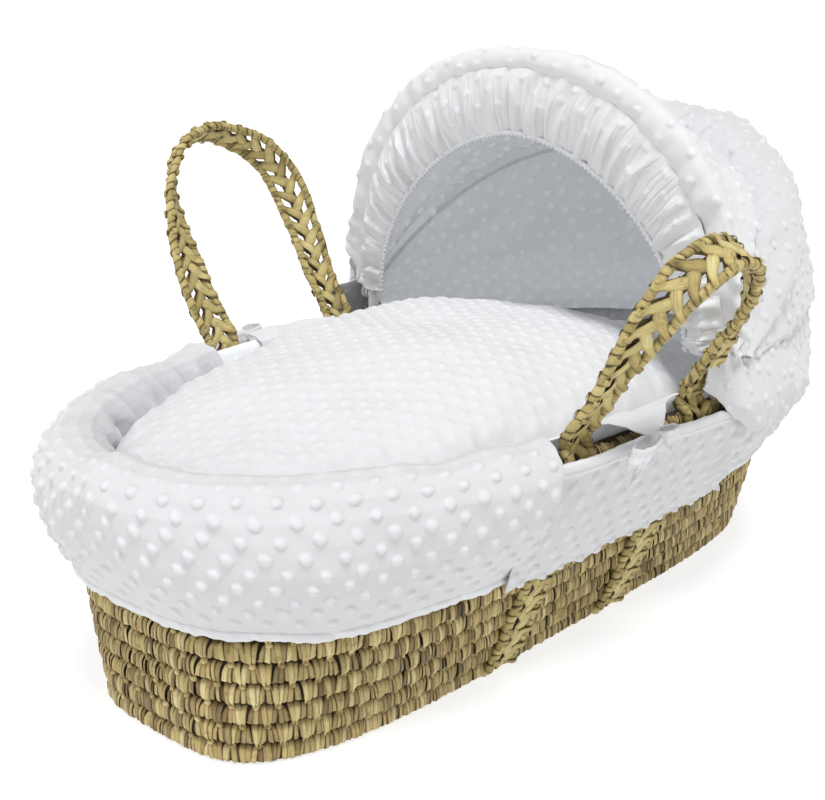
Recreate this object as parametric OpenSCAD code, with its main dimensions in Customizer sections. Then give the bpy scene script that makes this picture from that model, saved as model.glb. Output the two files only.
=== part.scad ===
// Palm cradle basket: coiled oval wall, two strap handles, dressed with a
// padded liner, skirt, quilt and a folding hood on two bows.
// X runs from the foot to the head, Z is up, and the origin is the middle of
// the underside.

/* [Basket] */
// Rows of coil in the wall
row_count = 12; // [8:1:14]
// Height of one row
row_h = 18.8; // [15:0.1:22]
// Thickness of the wall
wall_t = 16; // [12:1:20]
// Half length of the outline at the floor
base_half_l = 392; // [340:1:400]
// Half width of the outline at the floor
base_half_w = 136; // [120:1:160]
// Half length of the outline at the rim
rim_half_l = 415; // [400:1:440]
// Half width of the outline at the rim
rim_half_w = 228; // [220:1:235]
// Squareness of the outline at the floor, where 2 is an ellipse
base_square = 4.2; // [2:0.1:5]
// Squareness of the outline at the rim
rim_square = 2.2; // [2:0.1:3]
// Thickness of the coiled floor
mat_t = 14; // [10:1:16]

/* [Handles] */
// Width of the woven strap
strap_w = 40; // [34:1:44]
// Thickness of the woven strap
strap_t = 6; // [4:0.5:8]
// Middle of the two belly straps along the basket
handle_x = -36; // [-40:1:-25]
// Half the distance between the two belly straps
handle_half = 85; // [70:1:88]
// Thickness of a belly strap where it lies on the wall
belly_t = 4; // [3:0.5:5]
// Height of the near loop above its lashings
near_reach = 182; // [150:1:200]
// Height of the far loop above its lashings
far_reach = 235; // [180:1:240]
// Outward lean of the near handle, in degrees
near_lean = 30; // [10:1:35]
// Outward lean of the far handle, in degrees
far_lean = 28; // [10:1:35]

/* [Bedding] */
// Thickness of the mattress foam
foam_t = 37; // [30:1:40]
// Height of the hem of the skirt above the floor
hem_z = 119; // [100:1:130]
// Top of the quilt above the floor
quilt_top = 285; // [255:1:290]
// Thickness of the quilt
quilt_t = 20; // [12:1:24]

/* [Hood] */
// Height of the hood above its pivot
hood_r = 270; // [260:1:280]
// Half width of the hood at its front
hood_half_w = 244; // [238:1:248]
// Distance of the hood pivot from the middle of the basket
pivot_x = 88; // [86:1:95]
// Height of the hood pivot
pivot_z = 262; // [258:1:268]
// Angle of the rear bow behind the front one, in degrees
rear_bow_angle = 50; // [46:1:54]

// Forward lean of the hood's front, in degrees
front_lean = 5.5; // [0:0.5:7]

/* [Hidden] */
wall_h = row_count * row_h;
groove_t = strap_t + 0.5;
mat_top = mat_t;
hinge_y = 215;
hinge_z = 234;
eye_r = 6;
pin_r = 3;
strap_gap = 5;
foot_x = -158;
head_x = pivot_x + 12;
row_steps = 72;
foot_turn = acos(foot_x / rim_half_l);
head_turn = acos(head_x / rim_half_l);
quilt_edge_z = 212;
quilt_head_x = 300;
quilt_cut_x = 235;

straw = [0.74, 0.64, 0.42];
dark_straw = [0.62, 0.53, 0.34];
white_cloth = [0.93, 0.93, 0.95];
quilt_cloth = [0.90, 0.90, 0.93];
wadding = [0.97, 0.97, 0.94];

// ---- shape functions ----

// The outline of the basket changes from the floor to the rim.
function rise(z) = min(max(z / wall_h, 0), 1);
function half_l(z) = base_half_l + (rim_half_l - base_half_l) * rise(z);
function half_w(z) = base_half_w + (rim_half_w - base_half_w) * rise(z);
function square_at(z) = base_square + (rim_square - base_square) * rise(z);

// A point of the outline at turn t and height z, moved outwards by o.
function side_y(c, n) = pow(max(1 - pow(abs(c), n), 0), 1 / n);
function wall_point(t, z, o) = [
  (half_l(z) + o) * cos(t),
  (half_w(z) + o) * side_y(cos(t), square_at(z)) * sign(sin(t)),
  z
];
function outline(z, o) = [
  for (i = [0 : row_steps - 1])
    let (p = wall_point(360 * i / row_steps, z, o)) [p[0], p[1]]
];

// The outer face of the wall beside x, at height z.
function face_y(x, z) = half_w(z) * side_y(x / half_l(z), square_at(z));

// Sections around the basket, from turn t0 to t1, of a profile of [offset, height].
function ring_sections(profile, t0, t1, steps) = [
  for (i = [0 : steps])
    let (t = t0 + (t1 - t0) * i / steps)
      [for (p = profile) wall_point(t, p[1], p[0])]
];

// A band of constant thickness between offsets along a list of [offset, height].
function band(line, t) = concat(
  [for (p = line) [p[0], p[1]]],
  [for (i = [len(line) - 1 : -1 : 0]) [line[i][0] + t, line[i][1]]]
);
function reversed(list) = [for (i = [len(list) - 1 : -1 : 0]) list[i]];

// Joins a list of sections, all with the same number of points, into one solid.
module skin(sections, closed = false) {
  count = len(sections);
  sides = len(sections[0]);
  last = closed ? count - 1 : count - 2;
  points = [for (s = sections) for (p = s) p];
  walls = [
    for (i = [0 : last]) for (j = [0 : sides - 1])
      let (k = (i + 1) % count, m = (j + 1) % sides)
        each [
          [i * sides + j, i * sides + m, k * sides + m],
          [i * sides + j, k * sides + m, k * sides + j]
        ]
  ];
  caps = closed ? [] : [
    [for (j = [sides - 1 : -1 : 0]) j],
    [for (j = [0 : sides - 1]) (count - 1) * sides + j]
  ];
  polyhedron(points, concat(walls, caps), convexity = 8);
}

// ---- basket ----

module outline_ring(z, outer, inner) {
  difference() {
    polygon(outline(z, outer));
    polygon(outline(z, inner));
  }
}

module strap_grooves() {
  for (s = [-1, 1])
    translate([handle_x + s * handle_half - strap_w / 2 - 0.5, -rim_half_w, -1])
      cube([strap_w + 1, 2 * rim_half_w, groove_t + 1]);
}

module wall_row(index) {
  middle = (index + 0.5) * row_h;
  edge = 3;
  color(index % 2 == 0 ? straw : dark_straw)
    translate([0, 0, index * row_h]) {
      linear_extrude(row_h) outline_ring(middle, -2, -wall_t + 2);
      translate([0, 0, edge]) linear_extrude(row_h - 2 * edge) outline_ring(middle, 0, -wall_t);
    }
}

module first_row() {
  difference() {
    wall_row(0);
    strap_grooves();
  }
}

module base_mat() {
  color(dark_straw)
    difference() {
      linear_extrude(mat_t) polygon(outline(row_h / 2, -wall_t - 0.1));
      strap_grooves();
    }
}

// One strap lies under the floor and runs up both sides, outside the coils.
module belly_strap(side) {
  x = handle_x + side * handle_half;
  near_edge = min(abs(x - strap_w / 2), abs(x + strap_w / 2));
  low = half_w(0) + strap_gap;
  heights = [0, 3 * row_h, 6 * row_h, 9 * row_h, wall_h - 0.6];
  outer = [for (z = heights) [face_y(near_edge, z) + strap_gap + belly_t, z]];
  inner = [for (z = reversed(heights)) [face_y(near_edge, z) + strap_gap, max(z, strap_t)]];
  half = concat([[0, 0]], outer, inner, [[0, strap_t]]);
  color(straw)
    for (m = [0, 1]) mirror([0, m, 0])
      translate([x - strap_w / 2, 0, 0])
        rotate([90, 0, 90]) linear_extrude(strap_w) polygon(half);
}

// ---- handles ----

// Each lashing is a bar across the leg, held by two wraps on the rim.
module lashing(x) {
  plate_t = 3.5;
  plate_in = 3.6;
  reach = strap_w / 2 + 1.4;
  translate([x - reach - plate_t, hinge_y, hinge_z])
    rotate([0, 90, 0]) cylinder(r = pin_r, h = 2 * (reach + plate_t), $fn = 32);
  for (s = [-1, 1])
    translate([x + s * (reach + plate_t / 2) - plate_t / 2, hinge_y - plate_in, wall_h])
      cube([plate_t, plate_in + 4, hinge_z + 4 - wall_h]);
}

module lashings(side, path) {
  color(dark_straw)
    mirror([0, side < 0 ? 1 : 0, 0])
      for (foot = [path[0], path[len(path) - 1]]) lashing(handle_x + foot[0]);
}

// A point in the plane of a handle: u along the basket, w up the plane, v out of it.
function handle_point(u, w, v, lean) = [
  handle_x + u,
  hinge_y + w * sin(lean) + v * cos(lean),
  hinge_z + w * cos(lean) - v * sin(lean)
];

// The middle line of each loop, as [along the basket, up the plane], foot to foot.
leg_low = eye_r - 0.3;
foot_mid = leg_low + 7;
foot_rise = leg_low + 14;
near_path = [
  [-88, leg_low], [-88, foot_mid], [-88, foot_rise], [-84, 45], [-80, 95], [-75, 136],
  [-62, near_reach - 17], [-32, near_reach], [6, near_reach - 6], [42, 151], [70, 121],
  [85, 90], [86, 60], [85, 35], [84, foot_rise], [84, foot_mid], [84, leg_low]
];
far_path = [
  [-90, leg_low], [-90, foot_mid], [-90, foot_rise], [-96, 50], [-96, 108], [-91, 150],
  [-79, 187], [-52, far_reach - 13], [-11, far_reach], [30, far_reach - 14], [57, 198], [70, 155], [71, 105],
  [70, 55], [74, foot_rise], [74, foot_mid], [74, leg_low]
];

// A smooth curve through the points of a path, at part f of its span i.
function curve_point(p, i, f) =
  let (a = p[max(i - 1, 0)], b = p[i], c = p[i + 1], d = p[min(i + 2, len(p) - 1)])
    0.5 * (2 * b + (c - a) * f + (2 * a - 5 * b + 4 * c - d) * f * f
           + (3 * b - a - 3 * c + d) * f * f * f);
spans = 3;
function smooth_path(p) = concat(
  [for (i = [0 : len(p) - 2]) for (k = [0 : spans - 1]) curve_point(p, i, k / spans)],
  [p[len(p) - 1]]
);

// The strap lies along the basket at its feet and turns edge on at the top.
function ease(x) = x * x * (3 - 2 * x);
function strap_twist(part) = 90 * ease(max(part - 0.15, 0) / 0.85);
function loop_line(path) =
  let (p = smooth_path(path), n = len(p) - 1)
    [for (i = [0 : n])
      let (step = unit(p[min(i + 1, n)] - p[max(i - 1, 0)]))
        [p[i][0], p[i][1], step[1], -step[0], strap_twist(min(i, n - i) * 2 / n)]];
function unit(v) = v / norm(v);

// Sections of a rod along the loop: its centre is off across the strap.
function loop_sections(off, section, path, lean) =
  let (line = loop_line(path), n = len(line))
    [for (i = [0 : n - 1])
      let (
        q = line[i],
        before = line[max(i - 1, 0)],
        after = line[min(i + 1, n - 1)],
        here = handle_point(q[0], q[1], 0, lean),
        along = unit(handle_point(after[0], after[1], 0, lean)
                     - handle_point(before[0], before[1], 0, lean)),
        inward = handle_point(q[0] + q[2], q[1] + q[3], 0, lean) - here,
        out = handle_point(q[0], q[1], 1, lean) - here,
        wide = unit(cos(q[4]) * inward + sin(q[4]) * out),
        thick = cross(wide, along)
      )
        [for (p = section) here + wide * (p[0] + off) + thick * p[1]]];

function round_section(r, sides) = [
  for (i = [0 : sides - 1]) r * [cos(360 * i / sides), sin(360 * i / sides)]
];
function flat_section(w, t) = [[-w / 2, -t / 2], [w / 2, -t / 2], [w / 2, t / 2], [-w / 2, t / 2]];

cord_r = 4.5;
module handle_cords(side, path, lean) {
  color(straw)
    mirror([0, side < 0 ? 1 : 0, 0])
      for (s = [-1, 1])
        skin(loop_sections(s * (strap_w / 2 - cord_r), round_section(cord_r, 6), path, lean));
}

module handle_braid(side, path, lean) {
  color(dark_straw)
    mirror([0, side < 0 ? 1 : 0, 0])
      skin(loop_sections(0, flat_section(strap_w - 4 * cord_r - 0.2, strap_t), path, lean));
}

module handle_eyes(side, path) {
  color(dark_straw)
    mirror([0, side < 0 ? 1 : 0, 0])
      for (foot = [path[0], path[len(path) - 1]])
        translate([handle_x + foot[0] - strap_w / 2, hinge_y, hinge_z])
          rotate([0, 90, 0]) difference() {
            cylinder(r = eye_r - 0.5, h = strap_w, $fn = 32);
            translate([0, 0, -1]) cylinder(r = pin_r + 0.08, h = strap_w + 2, $fn = 32);
          }
}

// ---- bedding ----

cover_t = 1.5;
bed_gap = 20;
module mattress_foam() {
  color(wadding)
    translate([0, 0, mat_top + cover_t]) linear_extrude(foam_t)
      polygon(outline(row_h / 2, -wall_t - bed_gap + 16));
}

module mattress_cover() {
  color(white_cloth)
    difference() {
      translate([0, 0, mat_top]) linear_extrude(foam_t + 2 * cover_t)
        polygon(outline(row_h / 2, -wall_t - bed_gap + 16 + cover_t));
      mattress_foam();
    }
}

bed_top = mat_top + foam_t + 2 * cover_t;
liner_t = 9;
module inner_liner() {
  low = bed_top + 1;
  profile = [
    [-wall_t - 0.8 - liner_t, low], [-wall_t - 4.8, low], [-wall_t - 4.8, low + 40],
    [-wall_t - 4.8, 0.6 * wall_h], [-wall_t - 4.8, wall_h - 6], [-wall_t - 0.8, wall_h + 1],
    [-wall_t - 4, wall_h + 9], [-wall_t - 8, wall_h + 12.5], [-wall_t - 13, wall_h + 8],
    [-wall_t - 14, wall_h - 4], [-wall_t - 4.8 - liner_t, 0.6 * wall_h],
    [-wall_t - 4.8 - liner_t, low + 40]
  ];
  color(white_cloth) skin(ring_sections(profile, 0, 360 - 360 / 56, 55), closed = true);
}

// The padding is a soft roll over the rim; it stops short of the hood brackets.
roll = [
  [-15.5, wall_h + 1], [3.2, wall_h + 1], [3.2, 200], [13, 196], [26, 204], [31, 218],
  [27, 231], [14, 238], [-3, 240], [-14, 236]
];
cloth_steps = 27;
module rim_padding(t0, t1) {
  color(wadding) skin(ring_sections(roll, t0, t1, cloth_steps));
}

skirt_line = [
  [-15.5, 237], [-3, 241], [14, 239.2], [27.8, 232.4], [31.8, 218], [31.4, 195], [28, 165],
  [20, 138], [11, hem_z]
];
skirt_skin = [
  [12.5, hem_z], [22.5, 138], [31, 165], [34.8, 195], [35, 219], [31, 235], [15, 242.6],
  [-3, 244.6], [-15.5, 240.4]
];
module skirt(t0, t1) {
  color(white_cloth) skin(ring_sections(concat(skirt_line, skirt_skin), t0, t1, cloth_steps));
}

module hem_binding(t0, t1) {
  profile = [[10, hem_z - 8], [14, hem_z - 8], [14, hem_z - 0.2], [10, hem_z - 0.2]];
  color(white_cloth) skin(ring_sections(profile, t0, t1, cloth_steps));
}

flap_top = 205;
module flap(t0, t1) {
  profile = [[15.2, hem_z - 6], [18.5, hem_z - 6], [19.5, 160], [19.5, flap_top], [16, flap_top], [16, 160]];
  color(white_cloth) skin(ring_sections(profile, t0, t1, 14));
}

module flap_binding(t0, t1) {
  profile = [[15.8, flap_top + 0.2], [20, flap_top + 0.2], [20, flap_top + 10], [15.8, flap_top + 10]];
  color(white_cloth) skin(ring_sections(profile, t0, t1, 14));
}

// A ribbon tied in a bow: two flat loops on each side of a knot.
module tie_bow(side) {
  bow_y = half_w(flap_top) + 22.3;
  loop_reach = 25;
  loop_rise = 9;
  knot_rise = 3;
  loop_t = 5;
  color(white_cloth)
    mirror([0, side < 0 ? 1 : 0, 0])
      translate([-42, bow_y + 3.5, flap_top + 6]) rotate([-90, 0, 0]) {
        linear_extrude(loop_t) polygon([
          [-loop_reach, -loop_rise], [0, -knot_rise], [loop_reach, -loop_rise],
          [loop_reach, loop_rise], [0, knot_rise], [-loop_reach, loop_rise]
        ]);
        translate([0, 0, -2]) cylinder(r = 5.5, h = loop_t + 4, $fn = 24);
      }
}

// The quilt is a padded dome with its sides tucked down beside the liner.
function quilt_point(t, z, o, scale) =
  let (p = wall_point(t, min(z, wall_h), o), x = p[0] > 0 ? p[0] * quilt_head_x / rim_half_l : p[0])
    [handle_x + (x - handle_x) * scale, p[1] * scale, z];
quilt_gap = 33.4;
function quilt_rings(inset, drop, low) = concat(
  [for (z = [low, 0.45 * wall_h, 0.75 * wall_h, quilt_edge_z - drop - 14])
    [for (i = [47 : -1 : 0]) quilt_point(7.5 * i, z, -quilt_gap - inset, 1)]],
  [for (s = [0.985, 0.93, 0.82, 0.66, 0.48, 0.3, 0.12])
    let (z = quilt_edge_z - drop + (quilt_top - quilt_edge_z) * (1 - pow(s, 2.2)))
      [for (i = [47 : -1 : 0])
        let (p = quilt_point(7.5 * i, quilt_edge_z, -quilt_gap - inset, s)) [p[0], p[1], z]]]
);
module quilt_shell(outer_inset, inner_inset) {
  difference() {
    skin(quilt_rings(outer_inset, outer_inset, bed_top + 1));
    skin(quilt_rings(inner_inset, inner_inset, bed_top));
    translate([quilt_cut_x, -300, 0]) cube([400, 600, 400]);
  }
}
cover_skin = 3;
module quilt_cover() {
  color(quilt_cloth) quilt_shell(0, cover_skin);
}
module quilt_wadding() {
  color(wadding) quilt_shell(cover_skin + 0.1, quilt_t);
}

// ---- hood ----

// A point of an arch that leans back by angle, of height r and half width w.
function arch_y(w, n, t) = w * sign(cos(t)) * pow(abs(cos(t)), 2 / n);
function arch_r(r, n, t) = r * pow(abs(sin(t)), 2 / n);
function hood_point(angle, r, w, n, t) =
  [pivot_x + arch_r(r, n, t) * sin(angle), arch_y(w, n, t), pivot_z + arch_r(r, n, t) * cos(angle)];

hood_n = 2.4;
arch_points = 30;
function arch_turn(i, low) = low + (180 - 2 * low) * i / arch_points;

// A sheet of the hood: rows of [angle, height, half width], with thickness t inside.
function canopy_sections(rows, t, low) = [
  for (i = [0 : arch_points])
    let (turn = arch_turn(i, low))
      concat(
        [for (q = rows) hood_point(q[0], q[1], q[2], hood_n, turn)],
        [for (q = reversed(rows)) hood_point(q[0], q[1] - t, q[2] - t, hood_n, turn)]
      )
];

bow_wire = 2;
lug_t = 2.8;
lug_l = 24;
front_bow_w = 224;
rear_bow_w = 219.2;
module bow(width, height, angle) {
  low = 2.9;
  color([0.85, 0.86, 0.88]) {
    skin([
      for (i = [0 : arch_points])
        let (
          turn = arch_turn(i, low),
          here = hood_point(angle, height, width, hood_n, turn),
          ahead = hood_point(angle, height, width, hood_n, min(turn + 1, 180)),
          behind = hood_point(angle, height, width, hood_n, max(turn - 1, 0)),
          along = unit(ahead - behind),
          side = [cos(angle), 0, -sin(angle)],
          up = cross(side, along)
        )
          [for (p = round_section(bow_wire, 8)) here + side * p[0] + up * p[1]]
    ]);
    for (s = [-1, 1])
      translate([pivot_x, s * width, pivot_z]) rotate([90, 0, 0]) rotate([0, 0, -angle])
        translate([0, 0, -lug_t / 2]) linear_extrude(lug_t) difference() {
          union() {
            circle(r = 7, $fn = 32);
            translate([-3.5, 0]) square([7, lug_l]);
          }
          circle(r = pin_r + 0.06, $fn = 32);
        }
  }
}

module front_bow() {
  bow(front_bow_w, hood_r - 13.5, 2.2);
}
module rear_bow() {
  bow(rear_bow_w, hood_r - 15.5, rear_bow_angle);
}

bracket_low = 211.5;
bracket_t = 4;
module hood_brackets() {
  color([0.85, 0.86, 0.88])
    for (s = [-1, 1])
      translate([pivot_x, s * (bracket_low + bracket_t / 2), pivot_z]) rotate([90, 0, 0])
        translate([0, 0, -bracket_t / 2]) linear_extrude(bracket_t) difference() {
          union() {
            circle(r = 7, $fn = 32);
            translate([-6, wall_h - pivot_z]) square([12, pivot_z - wall_h]);
          }
          circle(r = pin_r, $fn = 32);
        }
}

module hood_pivot_pins() {
  color([0.6, 0.62, 0.65])
    for (s = [-1, 1]) mirror([0, s < 0 ? 1 : 0, 0])
      translate([pivot_x, bracket_low, pivot_z]) rotate([-90, 0, 0]) {
        cylinder(r = pin_r, h = 227.5 - bracket_low, $fn = 32);
        translate([0, 0, 226.2 - bracket_low]) cylinder(r = 5, h = 1.6, $fn = 32);
      }
}

// A flat band across the front of the hood, between two arches of [height, half width, n].
module front_sheet(outer, inner, thick) {
  low = 5;
  turns = [for (i = [0 : 40]) low + (180 - 2 * low) * i / 40];
  translate([pivot_x, 0, pivot_z]) rotate([0, -front_lean, 0])
    translate([-8, 0, 0]) rotate([90, 0, 90]) linear_extrude(thick)
    polygon(concat(
      [for (t = turns) [arch_y(outer[1], outer[2], t), arch_r(outer[0], outer[2], t)]],
      [for (t = reversed(turns)) [arch_y(inner[1], inner[2], t), arch_r(inner[0], inner[2], t)]]
    ));
}
opening_edge = [191, 196, 1.8];
elastic_edge = [197, 201, 1.8];
ruffle_edge = [251, 226, 2.2];
band_edge = [hood_r - 6.4, hood_half_w - 6.4, hood_n];

module opening_elastic() {
  color(white_cloth) front_sheet(elastic_edge, opening_edge, 5);
}
module ruffle_band() {
  color(white_cloth) front_sheet(ruffle_edge - [0.2, 0.2, 0], elastic_edge + [0.2, 0.2, 0], 5);
}
module front_band() {
  color(quilt_cloth) front_sheet(band_edge, ruffle_edge, 4);
}

module front_canopy() {
  rows = [for (a = [-front_lean - 2, 0, 7, 14]) [a, hood_r, hood_half_w]];
  color(white_cloth) skin(canopy_sections(rows, 5, 2.2));
}
module middle_canopy() {
  rows = [for (a = [15 : 6 : 51]) [a, hood_r + 6.5, hood_half_w + 6.5]];
  color(white_cloth) skin(canopy_sections(rows, 3, 2.2));
}

// The rear part swells out towards the head before it turns down to the rim.
rear_turns = [47, 50, 54, 59, 65, 71, 78, 84, 90];
function swell(a) = ease(min(max((a - 44) / 34, 0), 1));
function rear_row(a) = [a, hood_r + 13 + 87 * swell(a), hood_half_w + 12.5];
module rear_canopy() {
  rows = [for (a = rear_turns) rear_row(a)];
  color(white_cloth) skin(canopy_sections(rows, 4, 2.2));
}

// The frill hangs from the bottom edge of the rear part, outside the skirt.
function frill_top(t) = 15 + 32 * pow(cos(t * 90 / head_turn), 2);
function frill_profile(t) = [
  [36, 172], [40, 172], [44.5, 205], [45, 235], [frill_top(t) + 4, pivot_z - 1],
  [frill_top(t), pivot_z - 1], [41, 235], [40.5, 205]
];
module hood_frill() {
  steps = 26;
  edge = head_turn - 1;
  color(white_cloth)
    skin([
      for (i = [0 : steps])
        let (t = -edge + 2 * edge * i / steps)
          [for (p = frill_profile(t)) wall_point(t, p[1], p[0])]
    ]);
}

// ---- nodes ----

base_mat();
first_row();  // wall_row_01
wall_row(1);  // wall_row_02
wall_row(2);  // wall_row_03
wall_row(3);  // wall_row_04
wall_row(4);  // wall_row_05
wall_row(5);  // wall_row_06
wall_row(6);  // wall_row_07
wall_row(7);  // wall_row_08
wall_row(8);  // wall_row_09
wall_row(9);  // wall_row_10
wall_row(10);  // wall_row_11
wall_row(11);  // rim_row
belly_strap(-1);  // belly_strap_foot
belly_strap(1);  // belly_strap_head
lashings(-1, near_path);  // near_lashings
lashings(1, far_path);  // far_lashings
handle_braid(-1, near_path, near_lean);  // near_handle_braid
handle_cords(-1, near_path, near_lean);  // near_handle_cords
handle_eyes(-1, near_path);  // near_handle_eyes
handle_braid(1, far_path, far_lean);  // far_handle_braid
handle_cords(1, far_path, far_lean);  // far_handle_cords
handle_eyes(1, far_path);  // far_handle_eyes
mattress_foam();
mattress_cover();
inner_liner();
rim_padding(foot_turn + 0.7, 359.3 - foot_turn);  // rim_padding_foot
rim_padding(0.7 - head_turn, head_turn - 0.7);  // rim_padding_head
skirt(foot_turn, 360 - foot_turn);  // skirt_foot
skirt(-head_turn, head_turn);  // skirt_head
flap(361 - foot_turn, 359 - head_turn);  // flap_near
flap(head_turn + 1, foot_turn - 1);  // flap_far
hem_binding(foot_turn, 360 - foot_turn);  // hem_binding_foot
hem_binding(-head_turn, head_turn);  // hem_binding_head
flap_binding(361 - foot_turn, 359 - head_turn);  // flap_binding_near
flap_binding(head_turn + 1, foot_turn - 1);  // flap_binding_far
tie_bow(-1);  // tie_bow_near
tie_bow(1);  // tie_bow_far
quilt_wadding();
quilt_cover();
hood_brackets();
hood_pivot_pins();
front_bow();
rear_bow();
ruffle_band();
opening_elastic();
front_band();
front_canopy();
middle_canopy();
rear_canopy();
hood_frill();
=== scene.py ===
"""The looks of a palm leaf baby basket with its hood and bedding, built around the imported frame."""
import math

import bpy
import numpy as np
from mathutils.kdtree import KDTree
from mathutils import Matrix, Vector


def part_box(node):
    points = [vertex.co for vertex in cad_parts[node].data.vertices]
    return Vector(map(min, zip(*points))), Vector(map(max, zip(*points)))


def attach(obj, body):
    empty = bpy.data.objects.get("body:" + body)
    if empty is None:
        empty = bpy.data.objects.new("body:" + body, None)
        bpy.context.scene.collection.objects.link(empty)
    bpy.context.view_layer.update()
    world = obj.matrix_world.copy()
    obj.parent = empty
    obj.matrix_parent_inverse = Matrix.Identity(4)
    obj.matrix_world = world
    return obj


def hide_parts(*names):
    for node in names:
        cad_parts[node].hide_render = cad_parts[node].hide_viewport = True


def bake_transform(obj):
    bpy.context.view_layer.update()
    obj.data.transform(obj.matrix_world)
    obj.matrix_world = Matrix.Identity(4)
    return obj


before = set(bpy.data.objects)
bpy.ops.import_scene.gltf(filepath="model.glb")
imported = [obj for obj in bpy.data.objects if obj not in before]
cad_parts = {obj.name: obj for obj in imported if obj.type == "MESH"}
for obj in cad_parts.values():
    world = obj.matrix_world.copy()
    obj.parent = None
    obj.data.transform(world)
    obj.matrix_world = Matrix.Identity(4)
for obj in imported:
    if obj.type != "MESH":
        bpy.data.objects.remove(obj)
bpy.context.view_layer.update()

# ---- driving dimensions, in metres, as in the part's source ----

ROWS = 12
ROW_H = 0.0188
WALL_T = 0.016
WALL_H = ROWS * ROW_H
BASE = (0.392, 0.136, 4.2)
RIM = (0.415, 0.228, 2.2)

# half the depth and half the height of a coil, and the stitches in each row
COIL_A = 0.0080
COIL_B = 0.0082
STITCHES = 104
# points each way over one knot
KNOT_GRID = 9

STRAP_W = 0.040
CORD_R = 0.0045
PLAIT_PITCH = 0.0198
HANDLE_X = -0.036
HANDLE_HALF = 0.085
HINGE_Y = 0.215
HINGE_Z = 0.234
NEAR_LEAN = math.radians(30)
FAR_LEAN = math.radians(28)
NEAR_PATH = [
    (-88, 5.7), (-88, 12.7), (-88, 19.7), (-84, 45), (-80, 95),
    (-75, 136), (-62, 165), (-32, 182), (6, 176),
    (42, 151), (70, 121), (85, 90), (86, 60), (85, 35), (84, 19.7), (84, 12.7), (84, 5.7)
]
FAR_PATH = [
    (-90, 5.7), (-90, 12.7), (-90, 19.7), (-96, 50), (-96, 108), (-91, 150), (-79, 187), (-52, 222),
    (-11, 235), (30, 221), (57, 198), (70, 155), (71, 105), (70, 55), (74, 19.7), (74, 12.7), (74, 5.7)
]

FOOT_X = -0.158
HEAD_X = 0.100
# lengths round the basket are measured at this height, this far out
CLOTH_Z = 0.19
CLOTH_OUT = 0.02
QUILT_EDGE_Z = 0.212
QUILT_OUTLINE = -0.0300
QUILT_DOTS = dict(pitch=0.0186, radius=0.0046)

PIVOT_X = 0.088
PIVOT_Z = 0.262
HOOD_R = 0.276
HOOD_W = 0.250
HOOD_N = 2.3


# ---- camera, first, at the photograph's angle ----

CAMERA_AT = (-0.9544, -0.7982, 0.5754)
CAMERA_YAW = 0.7402
CAMERA_PITCH = 0.2945
CAMERA_LENS = 57.456
CAMERA_SENSOR = 36


def put(name, data, place, ahead):
    """Adds a camera or a light at a place, facing ahead."""
    made = bpy.data.objects.new(name, data)
    made.location = place
    made.rotation_mode = "QUATERNION"
    made.rotation_quaternion = Vector(ahead).to_track_quat("-Z", "Y")
    bpy.context.scene.collection.objects.link(made)
    return made


def make_camera():
    data = bpy.data.cameras.new("camera")
    data.lens = CAMERA_LENS
    data.sensor_width = CAMERA_SENSOR
    level = math.cos(CAMERA_PITCH)
    ahead = (level * math.cos(CAMERA_YAW), level * math.sin(CAMERA_YAW), -math.sin(CAMERA_PITCH))
    bpy.context.scene.camera = put("camera", data, CAMERA_AT, ahead)


make_camera()


# ---- numbers and meshes ----

def rng(seed):
    return np.random.default_rng(seed)


def ease(x):
    x = np.clip(x, 0, 1)
    return x * x * (3 - 2 * x)


def mix(a, b, t):
    return a + (b - a) * t


def unit(v):
    return v / np.maximum(np.linalg.norm(v, axis=-1, keepdims=True), 1e-12)


def waves(x, y, scale, seed, count=14):
    """Smooth noise from -1 to 1 with features about scale across: a sum of sines in many directions."""
    r = rng(seed)
    total = np.zeros(np.broadcast(x, y).shape)
    sines = zip(r.uniform(0, 2 * math.pi, count), r.uniform(0.7, 1.6, count), r.uniform(0, 6.28, count))
    for turn, size, phase in sines:
        k = 2 * math.pi / (scale * size * 2)
        total = total + np.sin(k * (x * math.cos(turn) + y * math.sin(turn)) + phase)
    return total / math.sqrt(count / 2) / 1.7


def dots(u, v, pitch=0.0270, row=0.0135, radius=0.0047, jitter=0.0011):
    """Raised round dots in staggered rows over cloth measured in metres: 0 between them, 1 on top."""
    rise_of = np.zeros(np.broadcast(u, v).shape)
    for odd in (0, 1):
        j = np.round((v / row - odd) / 2) * 2 + odd
        i = np.round(u / pitch - 0.5 * odd)
        du = jitter * np.sin(i * 12.9898 + j * 78.233)
        dv = jitter * np.sin(i * 39.425 + j * 11.135)
        size = radius * (1 + 0.10 * np.sin(i * 7.31 + j * 3.17))
        d = np.hypot(u - (i + 0.5 * odd) * pitch - du, v - j * row - dv) / size
        rise_of = np.maximum(rise_of, np.sqrt(np.clip(1 - d ** 2.2, 0, 1)) * 0.75 + 0.25 * np.exp(-d ** 2.5))
    return rise_of


def tree_of(places):
    tree = KDTree(len(places))
    for i, place in enumerate(places):
        tree.insert(place, i)
    tree.balance()
    return tree


def dots_on(points, seed, gap=0.0178, radius=0.0047):
    """The same raised dots spread evenly over a curved sheet that no flat pattern fits."""
    flat = points.reshape(-1, 3)
    some = flat[rng(seed).permutation(len(flat))[:9000]]
    tree = tree_of(some)
    free = np.ones(len(some), bool)
    kept = []
    for i in range(len(some)):
        if free[i]:
            kept.append(some[i])
            free[[hit[1] for hit in tree.find_range(some[i], gap)]] = False
    tree = tree_of(kept)
    away = np.array([tree.find(place)[2] for place in flat]).reshape(points.shape[:2])
    return np.clip(1 - (away / radius) ** 2, 0, 1) ** 0.6


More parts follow.
